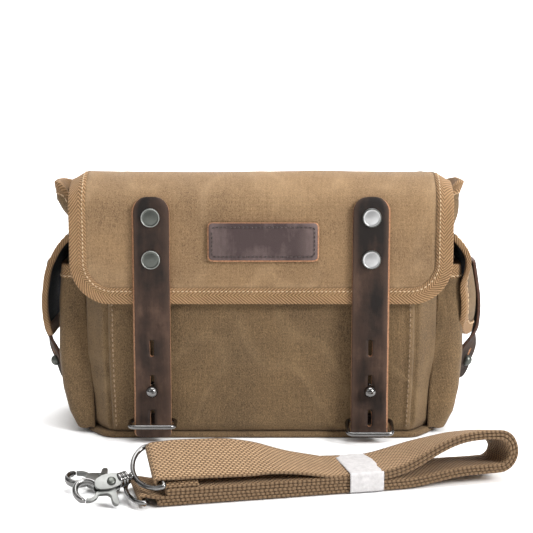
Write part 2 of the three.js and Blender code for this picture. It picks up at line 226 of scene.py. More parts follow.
def waxed_canvas(name, dark, light, rubbed):
    m = Material(name, **COARSE_CLOTH)
    height, tone = plain_weave(m, CANVAS_YARN)
    place = m.place()
    blotch = m.noise(place, 19.0, 4.0, 0.6)
    cloud = m.noise(place, 75.0, 3.0)
    speck = m.noise(place, 1700.0, 2.0)
    slub = m.streaks(place, (2200, 2200, 900), 2.0)
    value = m.weighted((tone, 0.13), (blotch, 0.22), (speck, 0.22), (slub, 0.43))
    middle = tuple(0.5 * (a + b) for a, b in zip(dark, light))
    base = m.ramp(value, (0.38, dark), (0.49, middle), (0.62, light))
    worn = m.wear()
    scratch = m.noise(place, 55.0, 3.0, 0.5)
    line = m.remap(m.math("ABSOLUTE", m.math("SUBTRACT", scratch, 0.5)), 0.0, 0.006, 1.0, 0.0)
    line = m.math("MULTIPLY", line, m.remap(cloud, 0.56, 0.72, 0.0, 0.4))
    scuff = m.math("MULTIPLY", worn, m.remap(cloud, 0.35, 0.62, 0.1, 0.45))
    # painted shade: the colour is darkened in the low points of the weave, between the yarns
    shaded = m.mix(m.remap(height, 0.0, 0.75, 0.55, 0.0), base, (0.36, 0.32, 0.28), "MULTIPLY")
    m.colour(m.mix(m.math("MAXIMUM", scuff, line), shaded, rubbed))
    m.rough(m.remap(blotch, 0.3, 0.7, 0.62, 0.86))
    m.bump((m.noise(place, 160.0, 3.0), 0.35), (height, 0.16))
    return m.material


def herringbone(name, dark, light):
    """Twill tape: the diagonal turns back every few millimetres across it."""
    m = Material(name, **COARSE_CLOTH)
    u, v = m.uv()
    zig = m.math("PINGPONG", m.math("ADD", v, 3.6), 9.0)
    line = m.math("SINE", m.math("MULTIPLY", m.math("ADD", u, m.math("MULTIPLY", zig, 1.25)),
                                 2 * math.pi / 2.4))
    fine = m.noise(m.place(), 900.0, 2.0)
    value = m.math("ADD", m.remap(line, -1.0, 1.0, 0.12, 0.78), m.math("MULTIPLY", fine, 0.2))
    cloud = m.noise(m.place(), 45.0, 3.0)
    twill = m.ramp(value, (0.15, dark), (0.8, light))
    m.colour(m.mix(m.remap(cloud, 0.35, 0.65, 0.0, 0.35), twill, light))
    m.bump((line, 0.22), (fine, 0.1))
    return m.material


def basket_webbing(name, dark, mid, light):
    """Rows of raised nubs, each row set half a nub along from the last."""
    m = Material(name, **COARSE_CLOTH)
    u, v = m.uv()
    along, across = 2.8, 1.8
    row = thread_number(m, v, across)
    shifted = m.math("ADD", u, m.math("MULTIPLY", m.math("FLOORED_MODULO", row, 2.0), along / 2))
    height = m.math("MULTIPLY", hump(m, shifted, along), hump(m, v, across))
    soft = m.math("POWER", height, 0.6)
    nub = thread_number(m, shifted, along)
    tone = m.noise(m.vector(m.math("MULTIPLY", nub, 2.3), m.math("MULTIPLY", row, 3.1)), 1.0, 2.0)
    fibre = m.noise(m.place(), 1400.0, 2.0)
    value = m.weighted((soft, 0.72), (tone, 0.22), (fibre, 0.14))
    face = m.ramp(value, (0.3, dark), (0.6, mid), (0.95, light))
    # painted shade: the side edges of each strand are darkened, where the strands lie stacked on one
    # another
    strand_edge_shade = m.remap(m.math("ABSOLUTE", v), WEB_WIDTH / 2 - 1.2, WEB_WIDTH / 2, 0.0, 0.72)
    m.colour(m.mix(strand_edge_shade, face, dark))
    m.bump((soft, 0.5), (fibre, 0.12))
    return m.material


def pull_up_leather(name, dark, mid, light, rough=(0.40, 0.62)):
    m = Material(name, Roughness=0.5, Specular_IOR_Level=0.18)
    place = m.place()
    height = m.add("ShaderNodeSeparateXYZ", {0: place}).outputs[2]
    broad = m.noise(place, 38.0, 5.0, 0.62)
    streak = m.streaks(place, (160, 160, 32), 4.0, 0.6)
    grain = m.add("ShaderNodeTexVoronoi", {"Vector": place, "Scale": 1500.0},
                  feature="DISTANCE_TO_EDGE").outputs[0]
    value = m.weighted((broad, 0.6), (streak, 0.4))
    # painted shade: the leather is darker above 100 to 135 mm
    value = m.math("SUBTRACT", value, m.remap(height, *SHADED_ABOVE, 0.0, 0.12))
    m.colour(m.mix(m.wear(), m.ramp(value, (0.36, dark), (0.52, mid), (0.7, light)), light))
    m.rough(m.remap(broad, 0.3, 0.7, *rough))
    m.bump((m.noise(place, 260.0, 4.0), 0.22), (m.remap(grain, 0.0, 0.25, 0.0, 1.0), 0.06))
    return m.material


def cut_edge(name, dark, light):
    """Raw edge of tanned hide."""
    m = Material(name, Roughness=0.7)
    fibre = m.noise(m.place(), 800.0, 3.0)
    m.colour(m.ramp(fibre, (0.3, dark), (0.7, light)))
    m.bump((fibre, 0.2))
    return m.material


def plated_metal(name, colour, low, high):
    m = Material(name, Metallic=1.0)
    place = m.place()
    film = m.noise(place, 120.0, 4.0)
    m.colour(m.mix(m.remap(film, 0.3, 0.7, 0.0, 1.0), colour, tuple(c * 0.82 for c in colour)))
    m.rough(m.remap(film, 0.3, 0.7, low, high))
    m.bump((m.noise(place, 500.0, 3.0), 0.02))
    return m.material


def lining_cloth(name, dark, light, pitch):
    m = Material(name, Roughness=0.92, Specular_IOR_Level=0.12)
    height, tone = plain_weave(m, pitch)
    m.colour(m.ramp(tone, (0.35, dark), (0.65, light)))
    m.bump((m.noise(m.place(), 120.0, 3.0), 0.3), (height, 0.15))
    return m.material


def thread_twist(name, dark, light):
    m = Material(name, Roughness=0.7, Sheen_Weight=0.1)
    twist = m.noise(m.place(), 1500.0, 2.0)
    m.colour(m.ramp(twist, (0.35, dark), (0.65, light)))
    m.bump((twist, 0.12))
    return m.material


def plain_paper(name):
    m = Material(name, Roughness=0.72)
    fibre = m.noise(m.place(), 420.0, 4.0)
    m.colour(m.ramp(fibre, (0.3, (0.36, 0.345, 0.345)), (0.7, (0.46, 0.445, 0.44))))
    m.bump((fibre, 0.15), (m.noise(m.place(), 60.0, 3.0), 0.4))
    return m.material


# Lit and shaded copies of one waxed canvas: the body's copy is darker, painted shade on the lower
# body, and the flap's copy is lighter, painted light on the flap.
SHADED_CANVAS = waxed_canvas("waxed_canvas", (0.052, 0.031, 0.014), (0.225, 0.145, 0.072),
                      (0.27, 0.185, 0.10))
LIT_FLAP_CANVAS = waxed_canvas("lit_flap_canvas", (0.115, 0.068, 0.033), (0.335, 0.215, 0.112),
                           (0.38, 0.26, 0.15))
TAPE_CLOTH = herringbone("herringbone_tape", (0.080, 0.043, 0.018), (0.300, 0.180, 0.090))
WEBBING = basket_webbing("basket_webbing", (0.060, 0.034, 0.017), (0.235, 0.142, 0.074),
                         (0.42, 0.285, 0.165))
LEATHER = pull_up_leather("pull_up_leather", (0.008, 0.0052, 0.0042), (0.034, 0.0190, 0.0130),
                          (0.090, 0.052, 0.035))
PATCH_LEATHER = pull_up_leather("patch_leather", (0.048, 0.032, 0.031), (0.110, 0.078, 0.074),
                                (0.25, 0.185, 0.17))
TAB_LEATHER = pull_up_leather("tab_leather", (0.006, 0.004, 0.0034), (0.024, 0.014, 0.0095),
                              (0.070, 0.040, 0.027), (0.78, 0.92))
EDGE = cut_edge("leather_cut_edge", (0.17, 0.075, 0.034), (0.42, 0.205, 0.100))
DARK_EDGE = cut_edge("leather_dark_edge", (0.022, 0.010, 0.007), (0.10, 0.036, 0.016))
NICKEL = plated_metal("dark_nickel", (0.10, 0.105, 0.095), 0.34, 0.46)
# lighter rim metal: a painted highlight on the rim of the left rivet caps
RIM_HIGHLIGHT_NICKEL = plated_metal("rim_highlight_nickel", (0.34, 0.35, 0.33), 0.26, 0.36)
# lighter copy of the rivet metal: painted light on the right-hand rivet caps
LIT_RIVET_NICKEL = plated_metal("lit_rivet_nickel", (0.42, 0.42, 0.42), 0.32, 0.44)
CHROME = plated_metal("bright_nickel", (0.18, 0.176, 0.172), 0.12, 0.24)
HOOK_NICKEL = plated_metal("hook_nickel", (0.17, 0.172, 0.165), 0.30, 0.42)
LINING = lining_cloth("black_lining", (0.006, 0.006, 0.007), (0.022, 0.022, 0.026), 0.5)
PADDING = lining_cloth("brushed_padding", (0.02, 0.02, 0.024), (0.05, 0.05, 0.058), 0.7)
THREAD = thread_twist("tan_thread", (0.30, 0.20, 0.11), (0.58, 0.42, 0.26))
DULL_THREAD = thread_twist("dull_thread", (0.13, 0.083, 0.044), (0.31, 0.205, 0.115))
DARK_THREAD = thread_twist("brown_thread", (0.010, 0.006, 0.005), (0.05, 0.028, 0.022))
PAPER = plain_paper("plain_paper")


# ---- mesh helpers ----
def fit(piece, body, slot, *nodes):
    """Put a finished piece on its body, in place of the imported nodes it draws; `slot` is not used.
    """
    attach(piece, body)
    if nodes:
        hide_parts(*nodes)


def smooth(low, high, value):
    t = np.clip((np.asarray(value, float) - low) / (high - low), 0.0, 1.0)
    return t * t * (3 - 2 * t)


def ripple(points, size, seed=0.0):
    """Smooth noise between -1 and 1 for each point, with features of about `size`."""
    flat = np.asarray(points, float).reshape(-1, 3) / size + seed
    values = [noise.noise(Vector(p)) for p in flat]
    return np.array(values).reshape(np.asarray(points).shape[:-1])


def unit(vectors):
    return vectors / np.linalg.norm(vectors, axis=-1, keepdims=True)


def link(name, mesh):
    built = bpy.data.objects.new(name, mesh)
    bpy.context.scene.collection.objects.link(built)
    return built


def set_uvs(mesh, uvs):
    """Give each corner the UV of its vertex."""
    layer = mesh.uv_layers.new(name="UVMap")
    loops = np.zeros(len(mesh.loops), np.int32)
    mesh.loops.foreach_get("vertex_index", loops)
    layer.data.foreach_set("uv", np.asarray(uvs, np.float32)[loops].ravel())


def make(name, points, faces, materials, face_materials=None, uvs=None, wear=None):
    mesh = bpy.data.meshes.new(name)
    mesh.from_pydata((np.asarray(points, float) * MM).tolist(), [], [list(f) for f in faces])
    for material in materials:
        mesh.materials.append(material)
    if face_materials is not None:
        mesh.polygons.foreach_set("material_index", np.asarray(face_materials, np.int32))
    if uvs is not None:
        set_uvs(mesh, uvs)
    if wear is not None:
        attribute = mesh.attributes.new("wear", "FLOAT", "POINT")
        attribute.data.foreach_set("value", np.asarray(wear, np.float32).ravel())
    mesh.polygons.foreach_set("use_smooth", np.ones(len(mesh.polygons), bool))
    mesh.validate()
    return link(name, mesh)


def outward(built):
    """Turn every face of a closed mesh outward."""
    work = bmesh.new()
    work.from_mesh(built.data)
    bmesh.ops.recalc_face_normals(work, faces=work.faces)
    work.to_mesh(built.data)
    work.free()
    return built


def grid_faces(rows, columns, start=0, wrap_rows=False, wrap_columns=False):
    faces = []
    for i in range(rows if wrap_rows else rows - 1):
        for j in range(columns if wrap_columns else columns - 1):
            a = i * columns + j
            b = i * columns + (j + 1) % columns
            c = ((i + 1) % rows) * columns + (j + 1) % columns
            d = ((i + 1) % rows) * columns + j
            faces.append((start + a, start + b, start + c, start + d))
    return faces


def thick_sheet(name, outer, inner, uv, materials, wear=None, wrap=False):
    """Closed sheet between two grids of points. Materials are outer, inner and rim."""
    rows, columns = outer.shape[:2]
    count = rows * columns
    faces = grid_faces(rows, columns, 0, False, wrap)
    kinds = [0] * len(faces)
    back = [tuple(reversed(face)) for face in grid_faces(rows, columns, count, False, wrap)]
    faces += back
    kinds += [1] * len(back)
    edges = [[i * columns + j for j in range(columns)] for i in (0, rows - 1)]
    if wrap:
        edges = [edge + edge[:1] for edge in edges]
    else:
        edges += [[i * columns + j for i in range(rows)] for j in (0, columns - 1)]
    for edge in edges:
        for a, b in zip(edge, edge[1:]):
            faces.append((a, b, b + count, a + count))
            kinds.append(2)
    points = np.concatenate([outer.reshape(-1, 3), inner.reshape(-1, 3)])
    uvs = np.concatenate([uv.reshape(-1, 2), uv.reshape(-1, 2)])
    rubbed = None if wear is None else np.concatenate([wear.ravel(), wear.ravel()])
    return outward(make(name, points, faces, materials, kinds, uvs, rubbed))


def lengths(points):
    steps = np.linalg.norm(np.diff(points, axis=0), axis=1)
    return np.concatenate([[0.0], np.cumsum(steps)])


def along_line(wanted, along, points):
    """Points at the wanted distances on a polyline whose corners are at `along`."""
    return np.stack([np.interp(wanted, along, column) for column in np.asarray(points).T], -1)


def slopes(path):
    return unit(np.gradient(path, axis=0))


def resample(points, step):
    points = np.asarray(points, float)
    along = lengths(points)
    count = max(int(round(along[-1] / step)), 1) + 1
    return along_line(np.linspace(0, along[-1], count), along, points)


def arc_points(middle, radius, start, end, steps):
    angles = np.radians(np.linspace(start, end, steps + 1))
    return [(middle[0] + radius * math.cos(a), middle[1] + radius * math.sin(a)) for a in angles]


def rounded(points, radius, steps=6, closed=False):
    """Polyline with its corners turned into arcs of about the given radius."""
    points = [np.asarray(p, float) for p in points]
    count = len(points)
    result = []
    for i, point in enumerate(points):
        if not closed and i in (0, count - 1):
            result.append(point)
            continue
        before, after = points[i - 1] - point, points[(i + 1) % count] - point
        reach = min(radius, 0.48 * np.linalg.norm(before), 0.48 * np.linalg.norm(after))
        start = point + unit(before) * reach
        end = point + unit(after) * reach
        for t in np.linspace(0, 1, steps):
            result.append((1 - t) ** 2 * start + 2 * t * (1 - t) * point + t * t * end)
    return np.array(result)


def closed_loop(corners, radius, step, steps=7):
    """Even points round a closed outline with its corners rounded."""
    path = rounded(corners, radius, steps, closed=True)
    return resample(np.concatenate([path, path[:1]]), step)[:-1]


def round_footed(low, high, length, radius, steps):
    """Edge down the left side, round the foot and up the right, with its inward direction."""
    points = [(low, 0.5)]
    points += arc_points((low + radius, length - radius), radius, 180, 90, steps)
    points += arc_points((high - radius, length - radius), radius, 90, 0, steps)
    edge = resample(points + [(high, 0.5)], EDGE_STEP)
    along = slopes(edge)
    return edge, np.stack([along[:, 1], -along[:, 0]], 1)


def round_footed_grid(half, first, last, end, radius, counts):
    """Grid of (across, along) that fills such an edge; counts are rows, corner rows, columns."""
    rows, turns, columns = counts
    theta = np.linspace(0, math.pi / 2, turns)[1:]
    along = np.concatenate([np.linspace(first, last, rows), end - radius + radius * np.sin(theta)])
    widths = np.concatenate([np.full(rows, half), half - radius + radius * np.cos(theta)])
    across = np.linspace(-1, 1, columns) * widths[:, None]
    return across, np.broadcast_to(along[:, None], across.shape)


def frames_along(path, closed=False, up=None):
    """Two cross directions at each point of a path; `up` fixes the second if given."""
    tangent = unit(np.roll(path, -1, 0) - np.roll(path, 1, 0)) if closed else slopes(path)
    if up is not None:
        side = unit(np.cross(tangent, np.broadcast_to(np.asarray(up, float), path.shape)))
        return side, np.cross(side, tangent)
    side = np.zeros_like(path)
    seed = (0.0, 0.0, 1.0) if abs(tangent[0, 2]) < 0.9 else (1.0, 0.0, 0.0)
    side[0] = unit(np.cross(tangent[0], seed))
    for i in range(1, len(path)):
        side[i] = unit(side[i - 1] - tangent[i] * side[i - 1].dot(tangent[i]))
    return side, np.cross(side, tangent)


def tube(name, grid, uv, materials, closed=False, face_kinds=None, wear=None):
    """Closed mesh from rings of points, with an end face at each end unless the rings close up."""
    rows, columns = grid.shape[:2]
    faces = grid_faces(rows, columns, 0, closed, True)
    if not closed:
        faces += [tuple(range(columns)), tuple(range((rows - 1) * columns, rows * columns))]
    uvs = np.stack(np.broadcast_arrays(uv[0][:, None], uv[1]), -1).reshape(-1, 2)
    return outward(make(name, grid.reshape(-1, 3), faces, materials, face_kinds, uvs, wear))


def sweep(name, path, section, materials, closed=False, up=None, kinds=None, wear=None):
    """Closed section of (side, up) points carried along a path."""
    path = np.asarray(path, float)
    section = np.asarray(section, float)
    side, top = frames_along(path, closed, up)
    if section.ndim == 2:
        section = np.broadcast_to(section, (len(path), *section.shape))
    grid = (path[:, None] + side[:, None] * section[..., :1] + top[:, None] * section[..., 1:])
    rows, columns = grid.shape[:2]
    face_kinds = None
    if kinds is not None:
        face_kinds = list(kinds) * (rows if closed else rows - 1)
        face_kinds += [] if closed else [kinds[0], kinds[0]]
    around = lengths(np.concatenate([section[0], section[0][:1]]))[:-1]
    rubbed = None if wear is None else np.broadcast_to(wear, (rows, columns)).ravel()
    return tube(name, grid, (lengths(path), around), materials, closed, face_kinds, rubbed)


def circle(radius, sides=12):
    angle = np.arange(sides) * 2 * math.pi / sides
    return np.stack([np.cos(angle), np.sin(angle)], 1) * radius


def wire(name, path, radius, material, closed=False, sides=12):
    return sweep(name, path, circle(radius, sides), [material], closed)


def basis(axis):
    """Axes of a round piece, with the given axis third."""
    axis = Vector(axis).normalized()
    side = axis.orthogonal().normalized()
    return np.array([side, axis.cross(side), axis]).T


def fanned(grid, foot, head):
    """Points and faces of a closed mesh from rings, with a point at the middle of each end."""
    rows, columns = grid.shape[:2]
    points = np.concatenate([grid.reshape(-1, 3), [foot, head]])
    faces = grid_faces(rows, columns, 0, False, True)
    last = (rows - 1) * columns
    for j in range(columns):
        k = (j + 1) % columns
        faces.append((k, j, rows * columns))
        faces.append((last + j, last + k, rows * columns + 1))
    return points, faces


def turned(name, profile, origin, axis, material, segments=40):
    """Round piece: profile of (radius, height), its axis pointing along `axis`."""
    profile = np.asarray(profile, float)
    middle = profile[1:-1]
    grid = np.concatenate([middle[:, None, :1] * circle(1.0, segments),
                           np.broadcast_to(middle[:, None, 1:], (len(middle), segments, 1))], -1)
    points, faces = fanned(grid, (0, 0, profile[0, 1]), (0, 0, profile[-1, 1]))
    points = points @ basis(axis).T + np.asarray(origin, float)
    return outward(make(name, points, faces, [material], uvs=points[:, :2]))


def join(name, pieces):
    """One object from several, keeping each one's materials."""
    bpy.ops.object.select_all(action="DESELECT")
    for piece in pieces:
        piece.select_set(True)
    bpy.context.view_layer.objects.active = pieces[0]
    bpy.ops.object.join()
    pieces[0].name = name
    return pieces[0]


def stitches(name, path, normals, material, length=3.1, gap=1.0, radius=0.42, sink=0.1):
    """A row of thread stitches lying on a surface."""
    path = np.asarray(path, float)
    normals = np.broadcast_to(np.asarray(normals, float), path.shape)
    along = lengths(path)
    starts = np.arange(gap, along[-1] - length, length + gap)
    rings = np.array([0.0, 0.14, 0.86, 1.0])
    sizes = np.array([0.45, 1.0, 1.0, 0.45])
    lift = np.array([-0.55, 0.25, 0.25, -0.55])
    sides = 6
    ring = circle(1.0, sides)
    points, faces = [], []
    for start in starts:
        at = start + rings * length
        spot = along_line(at, along, path)
        normal = unit(along_line(at, along, normals))
        side = np.cross(unit(spot[-1] - spot[0]), normal)
        centre = spot + normal * (lift[:, None] * radius - sink)
        block = (centre[:, None] + side[:, None] * ring[None, :, :1] * sizes[:, None, None] * radius
                 + normal[:, None] * ring[None, :, 1:] * sizes[:, None, None] * radius)
        first = len(points)
        points.extend(block.reshape(-1, 3))
        faces += grid_faces(len(rings), sides, first, False, True)
        faces.append(tuple(reversed(range(first, first + sides))))
        last = first + (len(rings) - 1) * sides
        faces.append(tuple(range(last, last + sides)))
    return make(name, points, faces, [material], uvs=np.array(points)[:, :2])


def cloth(name, outer, thickness, inside, uv, materials, wear=None, wrap=False):
    """Closed sheet with `outer` as its face and its back set in towards `inside`."""
    if wrap:
        along = np.roll(outer, -1, 1) - np.roll(outer, 1, 1)
    else:
        along = np.gradient(outer, axis=1)
    normal = np.cross(along, np.gradient(outer, axis=0))
    normal /= np.maximum(np.linalg.norm(normal, axis=-1, keepdims=True), 1e-9)
    if ((outer - np.asarray(inside, float)) * normal).sum() < 0:
        normal = -normal
    inner = outer - normal * np.asarray(thickness)[..., None]
    return thick_sheet(name, outer, inner, uv, materials, wear, wrap)


def binding(name, place, thick, width, closed=False):
    """Tape folded over an edge. place(inset, lift) gives the points along it."""
    tape = TAPE_THICK
    thick = np.asarray(thick, float)
    insets = np.array([width, width, width * 0.72, width * 0.45, width * 0.2, 0.5, -0.35, -0.6])
    lifts = np.array([0.05, tape * 0.8, tape, tape, tape, tape, 0.35, -0.1])
    rows = [(inset, lift + 0 * thick) for inset, lift in zip(insets, lifts)]
    rows += [(inset, -thick - lift) for inset, lift in zip(insets[::-1], lifts[::-1])]
    under = (0.1, width * 0.25, width * 0.5, width * 0.75)
    rows += [(inset, -thick - 0.04) for inset in under[::-1]]
    rows += [(inset, 0.04 + 0 * thick) for inset in under]
    grid = np.stack([place(inset, lift) for inset, lift in rows], 1)
    pucker = ripple(grid, 4.0, 5.0)[..., None] * 0.16
    away = np.stack([place(inset, lift + 1.0) for inset, lift in rows], 1) - grid
    grid = grid + away * pucker
    return tube(name, grid, (lengths(grid[:, 5]), lengths(grid[len(grid) // 2])), [TAPE_CLOTH],
                closed)


def edge_stitches(name, place, inset, lift=0.6, closed=False, **size):
    path = place(inset, lift)
    normal = place(inset, lift + 1.0) - path
    if closed:
        path = np.concatenate([path, path[:1]])
        normal = np.concatenate([normal, normal[:1]])
    return stitches(name, path, normal, THREAD, **size)


def taped_edge(name, place, thick, inset, closed=False):
    """The tape over an edge and the row of stitches that holds it."""
    return (binding(f"{name}_binding", place, thick, EDGE_TAPE, closed),
            edge_stitches(f"{name}_stitches", place, inset, closed=closed))


def fold_lines(x, z, seed):
    """Soft folds with a sharper crest, for slack canvas; x and z in millimetres."""
    points = np.stack([x, z, np.full_like(x, 0.0)], -1)
    broad = ripple(points, 62.0, seed)
    middle = ripple(points * [1.0, 0.6, 1.0], 24.0, seed + 7)
    crest = 1.0 - np.clip(np.abs(ripple(points * [1.0, 0.75, 1.0], 38.0, seed + 3)) / 0.16, 0, 1)
    return broad * 1.1 + middle * 0.45 + crest ** 2 * 0.5, crest


# ---- body: a lofted shell with flared, taped ears ----
SHELL = 3.0
BASE_THICK = 4.0
PLAN_STEP = 2.6
FRONT_WALL_LOW, FRONT_WALL_HIGH = cad("front_panel")
FRONT_WALL = FRONT_WALL_LOW[1]
MOUTH = FRONT_WALL_HIGH[2]
EAR_TOP = cad("left_gusset")[1][2]
REAR_TOP = cad("rear_panel")[1][2]
FLARE = {-1: ((0, HALF), (116, HALF), (126, HALF + 6), (138, HALF + 11.5), (148, HALF + 13.5),
              (EAR_TOP - 12, HALF + 23), (EAR_TOP, HALF + 25)),
         1: ((0, HALF), (116, HALF), (126, HALF + 6), (138, HALF + 11.5), (148, HALF + 15),
             (160, HALF + 17.5), (EAR_TOP, HALF + 22))}


def body_shell():
    plan = closed_loop([(-HALF, FRONT_WALL), (HALF, FRONT_WALL), (HALF, REAR), (-HALF, REAR)],
                       9.0, PLAN_STEP)
    x, y = plan[:, 0], plan[:, 1]
    side = smooth(0.84, 0.985, np.abs(x) / HALF)
    middle_top = np.where(y > 10, REAR_TOP - 2, MOUTH)
    ear_top = EAR_TOP - 0.5 - 9.0 * smooth(-10, REAR, y)
    rim = middle_top + (ear_top - middle_top) * side
    low = BASE_HIGH[2] + 0.2
    v = np.linspace(0, 1, 72)[:, None]
    z = low + (rim - low)[None] * v
    flare = np.where(x[None] < 0, np.interp(z, *zip(*FLARE[-1])), np.interp(z, *zip(*FLARE[1])))
    spread = 1 + (flare / HALF - 1) * (1 - 0.55 * smooth(0, REAR, y))[None]
    curl = smooth(EAR_TOP - 22, EAR_TOP - 4, z) * 3.0
    grid = np.stack([x[None] * spread - np.sign(x)[None] * curl * side[None],
                     np.broadcast_to(y, z.shape), z], -1)

    free_side = np.abs(x) > HALF - 5
    facing = np.stack([np.where(free_side, np.sign(x), 0),
                       np.where(free_side, 0, np.where(y > 10, 1, -1))], -1)
    folds, crest = fold_lines(x[None] + 1.3 * y[None] + 0 * z, z, 3.0)
    slack = np.where(free_side, smooth(60, 130, z) * 1.4,
                     smooth(3, 30, z) * (1 - smooth(105, 135, z)) * 0.9)
    slack = slack * (1 - smooth(EAR_TOP - 18, EAR_TOP - 4, z) * 0.6)
    belly = np.where(y[None] > 10, 1.8 * np.sin(np.clip(z / 130, 0, 1) * math.pi)
                     * (1 - smooth(50, 84, np.abs(x[None]))), 0)
    push = folds * slack * 0.6 + belly
    grid[..., :2] += facing[None] * push[..., None]
    uv = np.stack([np.broadcast_to(np.arange(len(x)) * PLAN_STEP, z.shape), z], -1)
    wear = crest * slack * 0.35
    shell = cloth("body_shell", grid, np.full(z.shape, SHELL), (0, 15, 80), uv,
                  [SHADED_CANVAS, LINING, LINING], wear, wrap=True)
    fit(shell, "bag", "canvas", "rear_panel", "front_panel", "left_gusset", "right_gusset")

    top, below = grid[-1], grid[-2]
    inward = unit(below - top)
    normal = unit(np.cross(np.roll(top, -1, 0) - np.roll(top, 1, 0), inward))
    if ((top - np.array([0, 15, 160])) * normal).sum() < 0:
        normal = -normal

    def place(inset, lift):
        return top + inward * inset + normal * np.reshape(lift, (-1, 1))

    for piece in taped_edge("mouth", place, np.full(len(top), SHELL), 7.6, closed=True):
        fit(piece, "bag", "tape")


def base_panel():
    """Doubled canvas base with a rolled edge and a seam all round."""
    corners = [(-POCKET_FRONT_HALF, FRONT), (POCKET_FRONT_HALF, FRONT), (HALF, POCKET_BEND),
               (HALF, REAR), (-HALF, REAR), (-HALF, POCKET_BEND)]
    path = closed_loop(corners, 7.0, 2.5)
    middle = np.array([0, 5.0])
    rings = ((0.0, 0.0, 0.5), (0.0, 0.0, 0.93), (0.0, 0.0, 1.0), (1.2, 0.9, 1.0),
             (2.6, 0.9, 1.0), (3.7, 0.1, 1.0), (BASE_THICK, -1.2, 1.0), (BASE_THICK, 0.0, 0.93),
             (BASE_THICK, 0.0, 0.5))
    points = []
    for height, spread, scale in rings:
        ring = middle + (path - middle) * scale + unit(path - middle) * (spread - 0.4)
        points.append(np.concatenate([ring, np.full((len(ring), 1), height)], 1))
    grid = np.array(points)
    points, faces = fanned(grid, (*middle, 0.0), (*middle, BASE_THICK))
    base = outward(make("base_panel_cloth", points, faces, [SHADED_CANVAS], uvs=points[:, :2]))
    fit(base, "bag", "canvas", "base_panel")


# ---- front pocket ----
POCKET_FRONT_HALF = 106.0
POCKET_TOP = POCKET_HIGH[2]
POCKET_BEND = -42.0
POCKET_PLAN = resample(rounded([(-HALF, FRONT_WALL - 0.4), (-HALF, POCKET_BEND),
                                (-POCKET_FRONT_HALF, FRONT), (POCKET_FRONT_HALF, FRONT),
                                (HALF, POCKET_BEND), (HALF, FRONT_WALL - 0.4)], 7.0, 8), EDGE_STEP)
POCKET_ALONG = lengths(POCKET_PLAN)


def pocket_grid(t, z, lift=0.0):
    """Face of the front pocket: t runs round its plan from the left."""
    x, y = np.moveaxis(along_line(t, POCKET_ALONG, POCKET_PLAN), -1, 0)
    step = 1.5
    ahead = along_line(t + step, POCKET_ALONG, POCKET_PLAN)
    behind = along_line(t - step, POCKET_ALONG, POCKET_PLAN)
    dx, dy = np.moveaxis(unit(ahead - behind), -1, 0)
    span = POCKET_ALONG[-1]
    held = smooth(0, 14, t) * smooth(0, 14, span - t)
    folds, crest = fold_lines(x * 1.0 + 0.8 * y, z, 21.0)
    front = smooth(POCKET_FRONT_HALF + 1, POCKET_FRONT_HALF - 16, np.abs(x))
    swell = np.sin(np.clip(z / (POCKET_TOP + 25), 0, 1) * math.pi) ** 0.8
    tuck = smooth(0.0, 7.0, z - 3.6)
    under_strap = 1 - 0.75 * (1 - smooth(13, 26, np.abs(np.abs(x) - STRAP_X)))
    push = front * swell * 1.9 + folds * 1.15 * (0.3 + 0.7 * under_strap) * (0.4 + 0.6 * tuck)
    ridge = np.exp(-((np.abs(x) - POCKET_FRONT_HALF + 5.5) / 2.2) ** 2) * 1.5
    valley = np.exp(-((np.abs(x) - POCKET_FRONT_HALF + 1.2) / 1.5) ** 2) * 2.6
    push = (push + (ridge - valley) * tuck) * held - (1 - tuck) * 2.6 + lift
    lean = smooth(70, 0, z) * smooth(80, 121, np.abs(x)) * 3.0
    return np.stack([x + dy * push - np.sign(x) * lean * held, y - dx * push, z + 0 * x], -1), crest


def front_pocket():
    t, z = np.meshgrid(resample(POCKET_ALONG[[0, -1], None], 1.25)[:, 0],
                       np.linspace(BASE_HIGH[2] + 0.1, POCKET_TOP, 84))
    grid, crest = pocket_grid(t, z)
    x = grid[..., 0]
    seam = np.exp(-((np.abs(x) - POCKET_FRONT_HALF + 1.2) / 2.0) ** 2)
    foot = np.exp(-((z - 5) / 2.5) ** 2)
    wear = np.clip(0.55 * seam + 0.4 * crest * smooth(8, 30, z) + 0.35 * foot, 0, 1)
    pocket = cloth("front_pocket_cloth", grid, np.full(z.shape, SHELL), (0, -20, 60),
                   np.stack([t, z], -1), [SHADED_CANVAS, LINING, LINING], wear)
    fit(pocket, "bag", "canvas", "front_pocket")

    span = POCKET_ALONG[-1]
    rim = np.linspace(0.5, span - 0.5, 200)

    def place(inset, lift):
        return pocket_grid(rim, np.full_like(rim, POCKET_TOP + 4.4 - inset), np.asarray(lift))[0]

    tape = binding("front_pocket_binding", place, np.full(len(rim), SHELL), 10.0)
    fit(tape, "bag", "tape", "front_pocket_tape")

    rows = []
    heights = np.linspace(7, POCKET_TOP - 6, 90)
    middle = np.interp(0, POCKET_PLAN[:, 0], POCKET_ALONG)
    for name, side in SIDES:
        where = np.full_like(heights, middle + side * (POCKET_FRONT_HALF - 6.0))
        rows.append(stitches(name, pocket_grid(where, heights)[0], (0, -1, 0), DULL_THREAD, 2.2,
                             1.3, 0.4))
    thread = join("front_pocket_stitches", rows)
    fit(thread, "bag", "tape")


# ---- flap ----
FLAP_ROLL_MIDDLE = (FLAP_FACE + FLAP_ROLL, FLAP_TOP - FLAP_ROLL)
REAR_STRIP = REAR + 2.2


